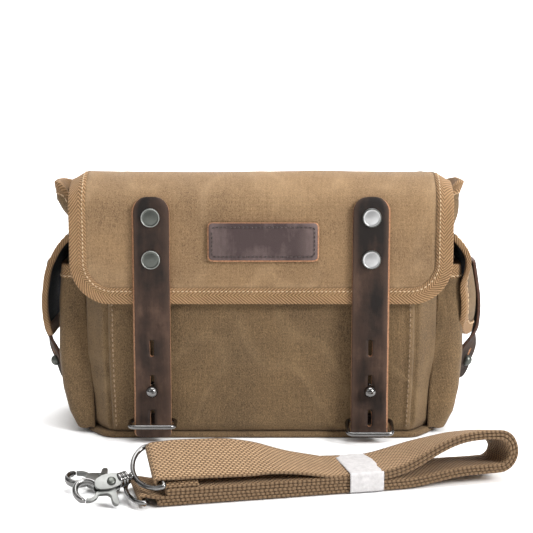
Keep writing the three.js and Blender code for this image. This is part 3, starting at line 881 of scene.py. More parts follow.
FLAP_PATH = resample(np.concatenate([
    rounded([(REAR_STRIP, 153), (REAR_STRIP, 166.5), (59.5, 171.4), (48, REAR_FOLD),
             (20, REAR_FOLD + 2.6)], 7.0),
    arc_points(FLAP_ROLL_MIDDLE, FLAP_ROLL, 84, 180, 24),
    [(FLAP_FACE, FLAP_HEM)]]), 1.0)
FLAP_ALONG = lengths(FLAP_PATH)
FLAP_LENGTH = FLAP_ALONG[-1]
FLAP_SLOPE = slopes(FLAP_PATH)


def flap_s(z):
    """Distance along the flap of a height on its front face."""
    in_front = FLAP_PATH[:, 0] < FLAP_FACE + FLAP_ROLL
    return float(np.interp(-z, -FLAP_PATH[in_front, 1], FLAP_ALONG[in_front]))


def flap_point(x, s, lift=0.0):
    """Outer face of the flap at x and distance s from its rear edge."""
    x, s, lift = np.broadcast_arrays(np.asarray(x, float), s, lift)
    y, z = np.moveaxis(along_line(s, FLAP_ALONG, FLAP_PATH), -1, 0)
    dy, dz = np.moveaxis(along_line(s, FLAP_ALONG, FLAP_SLOPE), -1, 0)
    free = smooth(16, 48, s)
    flat = np.stack([x, s, np.zeros_like(x)], -1)
    wave = ripple(flat, 74.0, 40.0) * 1.1 + ripple(flat, 33.0, 47.0) * 0.35
    droop = smooth(FLAP_HALF - 15, FLAP_HALF + 2, np.abs(x)) ** 1.3 * 6.5
    on_top = smooth(12, 32, s) * (1 - smooth(FLAP_LENGTH - 92, FLAP_LENGTH - 58, s))
    sag = np.sin(np.clip((s - 18) / 110, 0, 1) * math.pi) * (1 - (x / FLAP_HALF) ** 2) * -1.2
    push = wave * free + sag + lift
    return np.stack([x, y + dz * push, z - dy * push - droop * on_top], -1)


def flap_thickness(s):
    return 1.4 + (FLAP_THICK - 1.4) * smooth(11, 22, s)


def near_leather(x, s):
    """1 under the straps and the patch, 0 well away from them."""
    strap = 1 - smooth(STRAP_WIDTH / 2, STRAP_WIDTH / 2 + 7, np.abs(np.abs(x) - STRAP_X))
    strap = strap * smooth(flap_s(STRAP_HIGH[2]) - 9, flap_s(STRAP_HIGH[2]) - 3, s)
    low, high = cad("name_patch")
    patch = (1 - smooth(0, 6, np.abs(x - (low[0] + high[0]) / 2) - (high[0] - low[0]) / 2)) * (
        smooth(flap_s(high[2]) - 6, flap_s(high[2]), s)
        * (1 - smooth(flap_s(low[2]), flap_s(low[2]) + 6, s)))
    return np.maximum(strap, patch)


def blend_flap(piece):
    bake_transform(piece)


def flap():
    x, s = round_footed_grid(FLAP_HALF - 1, 2.0, FLAP_LENGTH - FLAP_CORNER, FLAP_LENGTH - 1,
                             FLAP_CORNER - 1, (96, 22, 128))
    folds, crest = fold_lines(x, s, 63.0)
    held = 1 - near_leather(x, s)
    loose = smooth(40, 70, s) * held
    fine = ripple(np.stack([x, s, 0 * x], -1), 11.0, 70.0)
    relief = (folds * 0.28 + fine * 0.12) * loose - 0.15
    grid = flap_point(x, s, relief)
    inner = flap_point(x, s, relief - flap_thickness(s) + 0.3)
    roll = np.exp(-((s - FLAP_LENGTH + 78) / 9.0) ** 2)
    edge = np.minimum(FLAP_HALF - np.abs(x), FLAP_LENGTH - s)
    rubbed = np.exp(-((edge - FLAP_TAPE - 1.2) / 1.4) ** 2) * 0.35
    wear = np.clip(0.4 * crest * loose + 0.3 * roll + rubbed, 0, 1)
    sheet = thick_sheet("flap_cloth", grid, inner, np.stack([x, s], -1),
                        [LIT_FLAP_CANVAS, LINING, LINING], wear)
    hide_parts("flap_canvas", "flap_lining")
    blend_flap(sheet)

    edge_line, inward = round_footed(-FLAP_HALF, FLAP_HALF, FLAP_LENGTH, FLAP_CORNER, 14)

    def place(inset, lift):
        return flap_point(*(edge_line + inward * inset).T, lift)

    thick = flap_thickness(edge_line[:, 1])
    tape = binding("flap_binding_tape", place, thick, FLAP_TAPE)
    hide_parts("flap_binding")
    blend_flap(tape)
    thread = edge_stitches("flap_stitches", place, FLAP_TAPE - 2.4, 0.62, length=1.7, gap=1.2,
                           radius=0.45)
    blend_flap(thread)
    back = edge_stitches("flap_back_stitches", lambda inset, lift: place(inset, -thick - lift),
                         FLAP_TAPE - 1.3, 0.62, radius=0.36)
    blend_flap(back)

    across = np.linspace(-FLAP_HALF + 6, FLAP_HALF - 6, 140)
    rows = [stitches(f"rear_{s_row}", flap_point(across, s_row, 0.05), (0, 1, 0), THREAD)
            for s_row in (3.5, 7.0)]
    rear = join("flap_rear_stitches", rows)
    blend_flap(rear)


SHARP_ANGLE = 38


def prism(name, outline, half, material, bevel=0.0):
    """Flat plate: outline in local x and y, `half` thick each way, with rounded arrises."""
    work = bmesh.new()
    ring = [work.verts.new((u * MM, v * MM, -half * MM)) for u, v in outline]
    face = work.faces.new(ring)
    raised = bmesh.ops.extrude_face_region(work, geom=[face])
    moved = [v for v in raised["geom"] if isinstance(v, bmesh.types.BMVert)]
    bmesh.ops.translate(work, verts=moved, vec=(0, 0, 2 * half * MM))
    bmesh.ops.recalc_face_normals(work, faces=work.faces)
    if bevel:
        rim = [e for e in work.edges if all(abs(f.normal.z) < 0.5 or abs(f.normal.z) > 0.99
                                            for f in e.link_faces)
               and any(abs(f.normal.z) > 0.99 for f in e.link_faces)]
        bmesh.ops.bevel(work, geom=rim, offset=bevel * MM, segments=3, affect="EDGES", profile=0.6)
    mesh = bpy.data.meshes.new(name)
    work.to_mesh(mesh)
    work.free()
    mesh.materials.append(material)
    mesh.polygons.foreach_set("use_smooth", np.ones(len(mesh.polygons), bool))
    mesh.set_sharp_from_angle(angle=math.radians(SHARP_ANGLE))
    return link(name, mesh)


def settle(piece, axes, origin):
    """Carry a piece made at the origin to its own axes and place, in millimetres."""
    matrix = Matrix([[*row, 0.0] for row in np.asarray(axes, float)] + [[0, 0, 0, 1]])
    matrix.translation = Vector(np.asarray(origin, float) * MM)
    piece.data.transform(matrix)
    return piece


def apply_modifiers(piece):
    graph = bpy.context.evaluated_depsgraph_get()
    mesh = bpy.data.meshes.new_from_object(piece.evaluated_get(graph))
    piece.modifiers.clear()
    piece.data = mesh
    return piece


def cut_away(piece, *tools):
    for tool in tools:
        modifier = piece.modifiers.new("cut", "BOOLEAN")
        modifier.operation = "DIFFERENCE"
        modifier.solver = "EXACT"
        modifier.material_mode = "TRANSFER"
        modifier.object = tool
    apply_modifiers(piece)
    for tool in tools:
        bpy.data.objects.remove(tool)
    return piece


def slot_outline(half_width, low, high, middle=0.0, hole=0.0):
    """Upright slit with round ends, and a round hole at its foot if `hole` is given."""
    radius = hole or half_width
    points = arc_points((middle, high - half_width), half_width, 0, 180, 8)
    if hole:
        open_angle = math.degrees(math.asin(half_width / hole))
        points += arc_points((middle, low + hole), hole, 90 + open_angle, 450 - open_angle, 20)
    else:
        points += arc_points((middle, low + radius), radius, 180, 360, 8)
    return points


# ---- leather strip ----
def strip(name, back, half, thick, outward_up, rubbed=0.35, tips=(0.0, 3.0), edge=None,
          hide=None, bevel=(0.1, 0.1)):
    """Leather strip on the path of its back, with crowned face and raw tan edges.

    `tips` are the corner radii at the two ends, `bevel` how far each cut edge leans in.
    """
    along = lengths(back)
    turns = 1 - np.cos(np.linspace(0, math.pi / 2, 10))
    stops = np.concatenate([along, tips[0] * turns, along[-1] - tips[1] * turns])
    stops = np.unique(np.round(np.clip(stops, 0, along[-1]), 3))
    outward_up = np.broadcast_to(np.asarray(outward_up, float), back.shape)
    outward_up = along_line(stops, along, outward_up)
    back = along_line(stops, along, back)
    widths = np.full(len(stops), half)
    for radius, near in ((tips[0], stops), (tips[1], stops[-1] - stops)):
        if radius:
            gap = np.clip(radius - near, 0, radius)
            widths = np.minimum(widths, half - radius + np.sqrt(radius ** 2 - gap ** 2))
    lows, mirror = (np.array([(0.45, 1.0), (thick * 0.78, 1.0 - cut / half),
                              (thick * 0.95, 0.98 - cut / half), (thick, 0.93 - cut / half),
                              (thick + 0.12, 0.6), (thick + 0.16, 0.3), (thick + 0.16, 0.0)])
                    for cut in bevel)
    mirror = mirror[::-1][1:] * [1, -1]
    section = np.concatenate([lows, mirror, [(0.0, -0.97), (0.0, -0.5), (0.0, 0.0), (0.0, 0.5),
                                             (0.0, 0.97)]])
    sections = np.stack([np.broadcast_to(section[:, 0], (len(back), len(section))),
                         section[None, :, 1] * widths[:, None]], -1)
    count = len(section)
    kinds = [0] * count
    for segment in (0, len(lows) * 2 - 3, len(lows) * 2 - 2, count - 1):
        kinds[segment] = 1
    wear = np.zeros(count)
    wear[[2, 3, 9, 10]] = rubbed
    return sweep(name, back, sections, [hide or LEATHER, edge or EDGE], up=outward_up, kinds=kinds,
                 wear=wear)


# ---- closing straps ----
STRAP_LIFT = 0.65
STRAP_THICK = 3.0
STRAP_END = 2.6
SLOT_HALF = 1.35
RIVET_FACE, RIVET_BACK, RIVET_SMALL = 6.3, 4.2, 3.4
STUD_HOLE = 2.5
SLOTS = ((STUD_Z + 23.5, STUD_Z + 35.0, 0.0), (STUD_Z - STUD_HOLE, STUD_Z + 11.0, STUD_HOLE),
         (STUD_Z - 24.5, STUD_Z - 13.0, 0.0))


def strap_back(middle):
    face = np.arange(flap_s(STRAP_HIGH[2]), FLAP_LENGTH - 1, 1.5)
    path = list(flap_point(middle, face, STRAP_LIFT)[:, 1:])
    lowest = path[-1]
    for z in np.arange(lowest[1] - 2.5, STRAP_END, -2.0):
        settle_in = smooth(lowest[1], 62, z)
        y = lowest[0] + (FLAP_FACE - 0.55 - lowest[0]) * settle_in
        y += -1.7 * smooth(30, 14, z) + 0.5 * math.sin(z / 17.0) * smooth(90, 70, z)
        path.append((y, z))
    path = resample(np.array(path), 1.4)
    return np.concatenate([np.full((len(path), 1), middle), path], 1)


def rivet(name, body, nodes, origin, axis, radius, material, rimmed=True, bead=None):
    """Cap with a turned rim and dished middle, or a plain low dome; `bead` adds a ring of another
    metal round the edge, a painted highlight when lighter and a painted shade when darker.
    """
    rim = radius * 0.86
    profile = [(0, 0), (radius * 0.98, 0), (radius, 0.35), (radius, 0.95), (radius * 0.975, 1.35),
               (radius * 0.93, 1.6), (rim, 1.68), (rim * 0.96, 1.6), (rim * 0.92, 1.42),
               (rim * 0.8, 1.5), (rim * 0.5, 1.72), (rim * 0.2, 1.84), (0, 1.86)]
    if not rimmed:
        profile = [(0, 0), (radius, 0), (radius, 0.6), (radius * 0.9, 1.1), (radius * 0.6, 1.5),
                   (radius * 0.25, 1.7), (0, 1.72)]
    cap = turned(name, profile, origin, axis, material, 48)
    if bead:
        local = np.concatenate([circle(radius * 0.93, 48), np.full((48, 1), 1.45)], 1)
        ring = np.asarray(origin, float) + local @ basis(axis).T
        cap = join(name, [cap, wire(f"{name}_bead", ring, 0.32, bead, closed=True, sides=8)])
    fit(cap, body, "nickel", *nodes)


def ball_stud(name, node, axis, material, sink=0.0):
    low, high = cad(node)
    lengthwise = int(np.argmax(np.abs(axis)))
    height = high[lengthwise] - low[lengthwise] + sink
    origin = (low + high) / 2
    origin[lengthwise] = high[lengthwise] if axis[lengthwise] < 0 else low[lengthwise]
    origin = origin - np.array(axis, float) * sink
    ball = 4.0
    profile = [(0, 0), (4.5, 0), (4.6, 0.5), (4.4, 1.1), (3.0, 1.5), (2.0, 2.3),
               (2.0, height - 2 * ball + 0.6)]
    profile += [(ball * math.cos(a), height - ball + ball * math.sin(a))
                for a in np.radians(np.linspace(-56, 88, 20))]
    profile.append((0, height))
    piece = turned(name, profile, origin, axis, material, 40)
    fit(piece, "bag", "nickel", node)


def closing_straps():
    for name, side in SIDES:
        middle = side * STRAP_X
        path = strap_back(middle)
        strap = strip(f"{name}_closing_strap", path, STRAP_WIDTH / 2, STRAP_THICK, (1, 0, 0),
                      tips=(9.5, 3.0), bevel=(0.15, 1.2)[::-side])
        tools = []
        for low, high, hole in SLOTS:
            tool = prism("slot_tool", slot_outline(SLOT_HALF, low, high, middle, hole), 20, EDGE)
            tools.append(settle(tool, [[1, 0, 0], [0, 0, -1], [0, 1, 0]], (0, -70, 0)))
        cut_away(strap, *tools)
        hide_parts(f"{name}_strap", f"{name}_strap_tail")
        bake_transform(strap)

        # painted shade and painted light: the left caps get the dark nickel and the right caps the
        # lighter copy, as the light falls from the right
        metal = NICKEL if side < 0 else LIT_RIVET_NICKEL
        for i in (1, 2):
            low, high = cad(f"{name}_rivet_{i}")
            s = flap_s((low[2] + high[2]) / 2)
            seat = flap_point(middle, s, STRAP_LIFT + STRAP_THICK + 0.1)
            axis = flap_point(middle, s, 5.0) - flap_point(middle, s, 0.0)
            # the bead rings paint a highlight on the left caps' rims and a shade on the right caps'
            # rims
            rivet(f"{name}_rivet_cap_{i}", "flap", [f"{name}_rivet_{i}"], seat, axis, RIVET_FACE,
                  metal, bead=RIM_HIGHLIGHT_NICKEL if side < 0 else NICKEL)
            rivet(f"{name}_rivet_back_{i}", "flap", [], flap_point(middle, s, -FLAP_THICK), -axis,
                  RIVET_BACK, NICKEL, rimmed=False)
        ball_stud(f"{name}_ball_stud", f"{name}_stud", (0, -1, 0), CHROME)


# ---- keeper rings at the foot of the front pocket ----
RING_WIRE = 1.5
RING_HALF = 16.5
D_RING_WIRE = 1.7
D_RING_BAR = (67.6, 146.0)
KEEPER_BAR_Y = -66.0
CHAPE_HALF, CHAPE_THICK, CHAPE_SEAT = 11.0, 2.2, REAR + 4.95
CHAPE_RIVETS = (112.0, 123.0)


def keeper(name, side):
    tab_low, tab_high = cad(f"{name}_keeper_tab")
    middle = (tab_low[0] + tab_high[0]) / 2
    bar = np.array([middle, KEEPER_BAR_Y, (tab_low[2] + tab_high[2]) / 2 + 0.15])
    loop = [(FRONT - 0.5, bar[2] + 4.0), (-64.2, bar[2] + 4.2)]
    loop += arc_points((bar[1], bar[2]), 2.9, 75, 285, 16)
    loop += [(-64.2, bar[2] - 3.6), (FRONT - 0.5, bar[2] - 3.8)]
    path = np.array([(middle, y, z) for y, z in resample(loop, 0.8)])
    tab = strip(f"{name}_keeper_loop", path, (tab_high[0] - tab_low[0]) / 2, 1.3, (-1, 0, 0),
                tips=(0.0, 0.0))
    fit(tab, "bag", "leather", f"{name}_keeper_tab")

    droop = math.radians(2 if side < 0 else 21)
    half, reach = RING_HALF - RING_WIRE, 19 - 2 * RING_WIRE
    outline = closed_loop([(-half, 0), (half, 0), (half, reach), (-half, reach)], 4.2, 1.0, 8)
    ring_path = [bar + (u, -v * math.cos(droop), -v * math.sin(droop)) for u, v in outline]
    ring = wire(f"{name}_keeper_wire", ring_path, RING_WIRE, CHROME, closed=True, sides=16)
    fit(ring, f"{name}_keeper_ring", "nickel", f"{name}_keeper_ring")


# ---- strap anchors on the back ----
def anchor(name, side):
    low, high = cad(f"{name}_d_ring")
    middle = (low[0] + high[0]) / 2
    bar = D_RING_BAR
    path = [(REAR + 0.4, 104.5), (REAR + 0.4, 143.0)]
    path += arc_points(bar, 3.9, 170, 10, 16)
    path += [(bar[0] + 3.4, 143.0), (REAR + 6.6, 134.0), (REAR + 5.0, 127.0), (REAR + 4.9, 106.0)]
    path = np.array([(middle, y, z) for y, z in resample(rounded(path, 3.0), 1.2)])
    tab = strip(f"{name}_anchor_chape", path, CHAPE_HALF, CHAPE_THICK, (1, 0, 0),
                tips=(0.0, 6.0))
    fit(tab, "bag", "leather", f"{name}_anchor_tab")
    for i, z in enumerate(CHAPE_RIVETS):
        rivet(f"{name}_anchor_rivet_{i + 1}", "bag", [], (middle, CHAPE_SEAT, z), (0, 1, 0),
              RIVET_SMALL, NICKEL)

    half, reach = RING_HALF - D_RING_WIRE, 22 - D_RING_WIRE
    outline = [(-half, 0), (half, 0)]
    outline += [(half * math.cos(a), 4 + (reach - 4) * math.sin(a))
                for a in np.radians(np.linspace(4, 176, 30))]
    outline = closed_loop(outline, 3.0, 1.0, 5)
    ring = wire(f"{name}_d_ring_wire", [(middle + u, bar[0], bar[1] - v) for u, v in outline],
                D_RING_WIRE, CHROME, closed=True, sides=16)
    fit(ring, f"{name}_d_ring", "nickel", f"{name}_d_ring")


# ---- patch ----
def name_patch():
    """Blank leather patch with a stitched border; it carries no words or mark."""
    low, high = cad("name_patch")
    middle, half = (low[0] + high[0]) / 2, (high[0] - low[0]) / 2
    rows = np.linspace(flap_s(high[2]), flap_s(low[2]), 30)
    back = flap_point(middle, rows, 0.25)
    face = flap_point(middle, np.linspace(rows[0] + 0.3, rows[-1] - 1.0, 30), 0.3)
    patch = join("flap_patch", [
        strip("patch_core", back, half, 1.5, (1, 0, 0), tips=(3.0, 3.0), hide=EDGE),
        strip("patch_face", face, half - 0.85, 2.0, (1, 0, 0), rubbed=0.25, tips=(2.6, 2.6),
              hide=PATCH_LEATHER)])
    fit(patch, "flap", "leather", "name_patch")

    inset = 3.0
    top, bottom = rows[0] + inset, rows[-1] - inset - 0.4
    left, right = middle - half + inset, middle + half - inset
    outline = closed_loop([(left, top), (right, top), (right, bottom), (left, bottom)], 1.6, 1.0, 4)
    outline = np.concatenate([outline, outline[:1]])
    centre_line = flap_point(middle, outline[:, 1], 2.72)
    centre_line[:, 0] = outline[:, 0]
    thread = stitches("patch_stitches", centre_line, (0, -1, 0), DARK_THREAD, 1.9, 0.9, 0.5, 0.1)
    fit(thread, "flap", "leather")


# ---- side pockets ----
SIDE_FACE = ((3, 128), (14, 133), (30, 136.5), (54, 139), (90, 139.5), (115, 138))


def side_pocket(name, side):
    low, high = cad(f"{name}_side_pocket")
    front, rear, bottom, top = low[1], high[1], low[2], high[2]
    depth = 19.0
    plan = resample(rounded([(0.4, front), (depth, front), (depth, rear), (0.4, rear)], 9.0, 8), 1.8)
    along = lengths(plan)
    tangent = slopes(plan)
    normal = np.stack([tangent[:, 1], -tangent[:, 0]], 1)

    def surface(z, lift, squeeze=1.0):
        reach = np.interp(z, *zip(*SIDE_FACE)) - HALF
        held = smooth(0, 12, along) * smooth(0, 12, along[-1] - along)
        folds, crest = fold_lines(along * 1.0 + 0 * z, z + 0 * along, 90.0 + side)
        swell = np.sin(np.clip(z / 130, 0, 1) * math.pi) * 1.3
        push = (folds * 0.8 * smooth(2, 22, z) + swell) * held + lift
        forward = smooth(front + 30, front, plan[:, 1]) * smooth(100, 12, z)
        tucked = forward * 6.5 * (1 - plan[:, 0] / depth)
        x = HALF + plan[:, 0] * reach / depth * squeeze + normal[:, 0] * push - tucked
        y = plan[:, 1] + normal[:, 1] * push - 14.0 * forward
        return np.stack([side * x, y, z + 0 * x], -1), crest

    rows = [surface(np.full_like(along, z), 0.0, squeeze)
            for z, squeeze in ((3.4, 0.02), (3.1, 0.5), (3.0, 0.88), (3.4, 0.97))]
    heights = np.linspace(5.0, top - 0.6, 62)
    rows += [surface(np.full_like(along, z), 0.0) for z in heights]
    grid = np.stack([row[0] for row in rows])
    crest = np.stack([row[1] for row in rows])
    z = grid[..., 2]
    uv = np.stack([np.broadcast_to(along, z.shape), z], -1)
    pocket = cloth(f"{name}_side_pocket_cloth", grid, 0.4 + 2.1 * smooth(5, 16, z),
                   (side * (HALF + 6), 0, 60), uv, [SHADED_CANVAS, LINING, LINING], crest * 0.4)
    fit(pocket, "bag", "canvas", f"{name}_side_pocket")

    def place(inset, lift):
        return surface(np.full_like(along, top - inset), np.asarray(lift) + 0.0)[0]

    for piece in taped_edge(f"{name}_side_pocket", place, np.full(len(along), 2.5), 7.6):
        fit(piece, "bag", "tape")
    ball_stud(f"{name}_pocket_ball_stud", f"{name}_pocket_stud", (side, 0, 0), NICKEL,
              sink=3.4)


# ---- side pocket flaps, bound and closed with a leather tab ----
POCKET_FLAP_PATH = resample(rounded([(132.6, 136.6), (141, 128), (149, 113), (152.5, 92),
                                     (152.5, 79), (149.5, 63)], 9.0), 1.5)
POCKET_CORNER = 17.0
TAB_RIVET_SEAT = 155.7
REAR_PINCH = ((1, 0), (9, 9.5), (18, 9.5), (26, 7), (34, 7), (54, 0))
TAB_PATH = ((149.8, 113.5), (153.3, 92), (153.3, 79), (150.5, 62), (148.0, 50), (144.4, 38),
            (142.2, 26.5))


def pocket_flap(name, side):
    low, high = cad(f"{name}_pocket_flap")
    front, rear = low[1], high[1]
    middle, half = (front + rear) / 2, (rear - front) / 2
    path = POCKET_FLAP_PATH
    along = lengths(path)
    length = along[-1]
    slope = slopes(path)

    def surface(y, s, lift):
        y, s, lift = np.broadcast_arrays(np.asarray(y, float), s, lift)
        x, z = np.moveaxis(along_line(s, along, path), -1, 0)
        dx, dz = np.moveaxis(along_line(s, along, slope), -1, 0)
        wave = ripple(np.stack([y, s, 0 * y], -1), 42.0, 130.0 + side) * 1.0 * smooth(4, 20, s)
        edge = smooth(half - 16, half, np.abs(y - middle))
        front_edge = smooth(middle - half + 30, middle - half, y)
        curl = 10.0 * front_edge * smooth(16, 42, s) if side > 0 else 0.0
        rear_edge = smooth(middle + half - 22, middle + half - 4, y)
        curl = curl + rear_edge * np.interp(s, *zip(*REAR_PINCH))
        push = wave * (0.35 + 0.65 * edge) + lift - 1.4 * edge * smooth(20, 60, s) - curl
        return np.stack([side * (x - dz * push), y, z + dx * push], -1)

    across, s = round_footed_grid(half - 0.6, 0.5, length - POCKET_CORNER, length - 0.6,
                                  POCKET_CORNER, (34, 14, 46))
    y = middle + across
    folds, crest = fold_lines(y, s, 150.0 + 5 * side)
    edge_gap = np.minimum(half - np.abs(y - middle), length - s)
    relief = folds * 0.25 * smooth(6, 24, s) * smooth(8, 14, edge_gap)
    relief = relief - 0.3 * smooth(11, 8, edge_gap)
    flap_cloth = thick_sheet(f"{name}_pocket_flap_cloth", surface(y, s, relief),
                             surface(y, s, relief - SHELL + 0.3), np.stack([y, s], -1),
                             [SHADED_CANVAS, LINING, LINING], crest * 0.4)
    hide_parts(f"{name}_pocket_flap")
    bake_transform(flap_cloth)

    edge_line, inward = round_footed(front, rear, length, POCKET_CORNER, 10)

    def place(inset, lift):
        return surface(*(edge_line + inward * inset).T, lift)

    thick = np.full(len(edge_line), SHELL)
    for piece in taped_edge(f"{name}_pocket_flap", place, thick, 7.7):
        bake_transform(piece)

    tab_low, tab_high = cad(f"{name}_pocket_tab")
    tab_y = (tab_low[1] + tab_high[1]) / 2
    back = resample(rounded(TAB_PATH, 10.0), 1.4)
    back = np.array([(side * x, tab_y, z) for x, z in back])
    turn = np.radians(22 if side < 0 else 34) * smooth(68, 46, back[:, 2])
    back[:, 0] += side * 2.0 * smooth(100, 60, back[:, 2]) * smooth(30, 58, back[:, 2])
    across = np.stack([side * np.sin(turn), np.cos(turn), 0 * turn], 1) * side
    tab = strip(f"{name}_pocket_tab_leather", back, (tab_high[1] - tab_low[1]) / 2, 2.4,
                across, tips=(3.0, 11.0), edge=DARK_EDGE, hide=TAB_LEATHER)
    stud_low, stud_high = cad(f"{name}_pocket_stud")
    stud_z = (stud_low[2] + stud_high[2]) / 2
    tool = prism("tab_tool", slot_outline(1.2, stud_z - 2.6, stud_z + 9, tab_y, 2.6), 14, EDGE)
    settle(tool, [[0, 0, 1], [1, 0, 0], [0, 1, 0]], (side * 148, 0, 0))
    cut_away(tab, tool)
    fit(tab, f"{name}_pocket_flap", "leather", f"{name}_pocket_tab")
    rivet_low, rivet_high = cad(f"{name}_tab_rivet")
    seat = (rivet_low + rivet_high) / 2
    rivet(f"{name}_tab_rivet_cap", f"{name}_pocket_flap", [f"{name}_tab_rivet"],
          (side * TAB_RIVET_SEAT, *seat[1:]), (side, 0, 0), RIVET_BACK, NICKEL)


# ---- padded insert ----
PAD_WALL = 6.0
QUILT_PITCH = 57.0
DIVIDER_VOXEL = 0.0035
PUFF_CAP = 0.0012
PUFF_FRAMES = 15


def insert():
    low, high = cad("padded_insert")
    pad = PAD_WALL
    corners = [(low[0] + 0.6, low[1] + 0.6), (high[0] - 0.6, low[1] + 0.6),
               (high[0] - 0.6, high[1] - 0.6), (low[0] + 0.6, high[1] - 0.6)]
    outer = closed_loop(corners, 8.0, 3.0)
    inner = np.clip(outer, low[:2] + pad, high[:2] - pad)
    centre = (low + high)[:2] / 2
    rows = [(centre + (outer - centre) * 0.5, low[2] + 0.4), (outer + 0.0, low[2] + 0.6)]
    quilt = 0.9 * np.abs(np.cos(outer[:, 0] / QUILT_PITCH * math.pi))[:, None] ** 6
    toward = unit(centre - outer)
    for z in np.linspace(low[2] + 3, high[2] - 4, 40):
        rows.append((outer + toward * quilt, z))
    rim = np.linspace(0, math.pi, 9)[1:-1]
    for angle in rim:
        mix = (1 - math.cos(angle)) / 2
        rows.append((outer + (inner - outer) * mix, high[2] - 4 + 3.4 * math.sin(angle)))
    for z in np.linspace(high[2] - 4, low[2] + pad + 2, 38):
        rows.append((inner - toward * (quilt * 0.4), z))
    rows.append((inner, low[2] + pad + 0.2))
    rows.append((centre + (inner - centre) * 0.5, low[2] + pad))
    grid = np.stack([np.concatenate([plan, np.full((len(plan), 1), z)], 1) for plan, z in rows])
    points, faces = fanned(grid, (*centre, low[2] + 0.4), (*centre, low[2] + pad))
    uvs = np.stack([points[:, 0] + points[:, 1], points[:, 2]], 1)
    piece = outward(make("insert_padding", points, faces, [PADDING], uvs=uvs))
    fit(piece, "bag", "padding")
    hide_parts("padded_insert")
    for name, _ in SIDES:
        divider(name)


def divider(name):
    """Soft divider, puffed by a short cloth run inside its CAD box."""
    low, high = cad(f"{name}_divider")
    work = bmesh.new()
    bmesh.ops.create_cube(work, size=1.0)
    shrink = np.array([0.9, 1.2, 1.2])
    size = (high - low - 2 * shrink) * MM
    bmesh.ops.scale(work, verts=work.verts, vec=size)
    bmesh.ops.translate(work, verts=work.verts, vec=(low + high) / 2 * MM)
    mesh = bpy.data.meshes.new(f"{name}_divider_pad")
    work.to_mesh(mesh)
    work.free()
    mesh.materials.append(PADDING)
    piece = link(f"{name}_divider_pad", mesh)
    remesh = piece.modifiers.new("voxels", "REMESH")
    remesh.mode = "VOXEL"
    remesh.voxel_size = DIVIDER_VOXEL
    apply_modifiers(piece)
    puff(piece)
    mesh = piece.data
    spots = np.zeros(len(mesh.vertices) * 3)
    mesh.vertices.foreach_get("co", spots)
    spots = np.clip(spots.reshape(-1, 3), (low - 0.1) * MM, (high + 0.1) * MM)
    mesh.vertices.foreach_set("co", spots.ravel())
    set_uvs(mesh, spots[:, 1:] / MM)
    mesh.polygons.foreach_set("use_smooth", np.ones(len(mesh.polygons), bool))
    fit(piece, f"{name}_divider", "padding")
    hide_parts(f"{name}_divider")


def puff(piece):
    """Short pressure run; no point moves further than PUFF_CAP metres."""
    count = len(piece.data.vertices)
    start = np.zeros(count * 3)
    piece.data.vertices.foreach_get("co", start)
    soft = piece.modifiers.new("puff", "CLOTH")
    soft.settings.use_pressure = True
    soft.settings.uniform_pressure_force = 4.0
    soft.settings.effector_weights.gravity = 0.0
    soft.settings.quality = 5
    scene = bpy.context.scene
    for step in range(1, PUFF_FRAMES + 1):
        scene.frame_set(step)
    apply_modifiers(piece)
    scene.frame_set(1)
    end = np.zeros(count * 3)
    piece.data.vertices.foreach_get("co", end)
    moved = (end - start).reshape(-1, 3)
    far = np.linalg.norm(moved, axis=1, keepdims=True)
    moved *= np.minimum(1.0, PUFF_CAP / np.maximum(far, 1e-9))
    piece.data.vertices.foreach_set("co", (start.reshape(-1, 3) + moved).ravel())


# ---- shoulder strap, folded on the floor with its two hooks ----
BUNDLE_AT = np.array([-65.0, -189.0, 0.0])
BUNDLE_TURN = math.radians(12.6)
BUNDLE_AXES = np.array([[math.cos(BUNDLE_TURN), -math.sin(BUNDLE_TURN), 0],
                        [math.sin(BUNDLE_TURN), math.cos(BUNDLE_TURN), 0], [0, 0, 1]])
BAND_ENDS = (117.0, 138.0)
STRAND_LOW = 1.55
STRAND_PITCH = 2.0


def to_bag(points):
    return np.asarray(points, float) @ BUNDLE_AXES.T + BUNDLE_AT


def strand(k):
    """Height of a strand's centre; strand 1 is on top."""
    return STRAND_LOW + (6 - k) * STRAND_PITCH


def right_loop(inset):
    """Strands run out to the right and back; each inner loop is set in from the outer one."""
    outer = [(108, strand(1)), (138, strand(1)), (153, 15.2), (170, 20.8), (188, 24.2),
             (203, 25.0)]
    outer += arc_points((212, 13.2), 11.6, 80, -80, 14)
    outer += [(198, STRAND_LOW), (150, STRAND_LOW), (108, STRAND_LOW)]
    path = resample(rounded(outer, 8.0), 2.0)
    slope = slopes(path)
    return path + np.stack([slope[:, 1], -slope[:, 0]], 1) * inset


def left_fold(u, upper, lower):
    return arc_points((u, (strand(upper) + strand(lower)) / 2), STRAND_PITCH / 2, 90, 270, 8)


TOP_TILT = math.radians(20)
REST_TILT = math.radians(3)
EYE_TILT = math.radians(17)


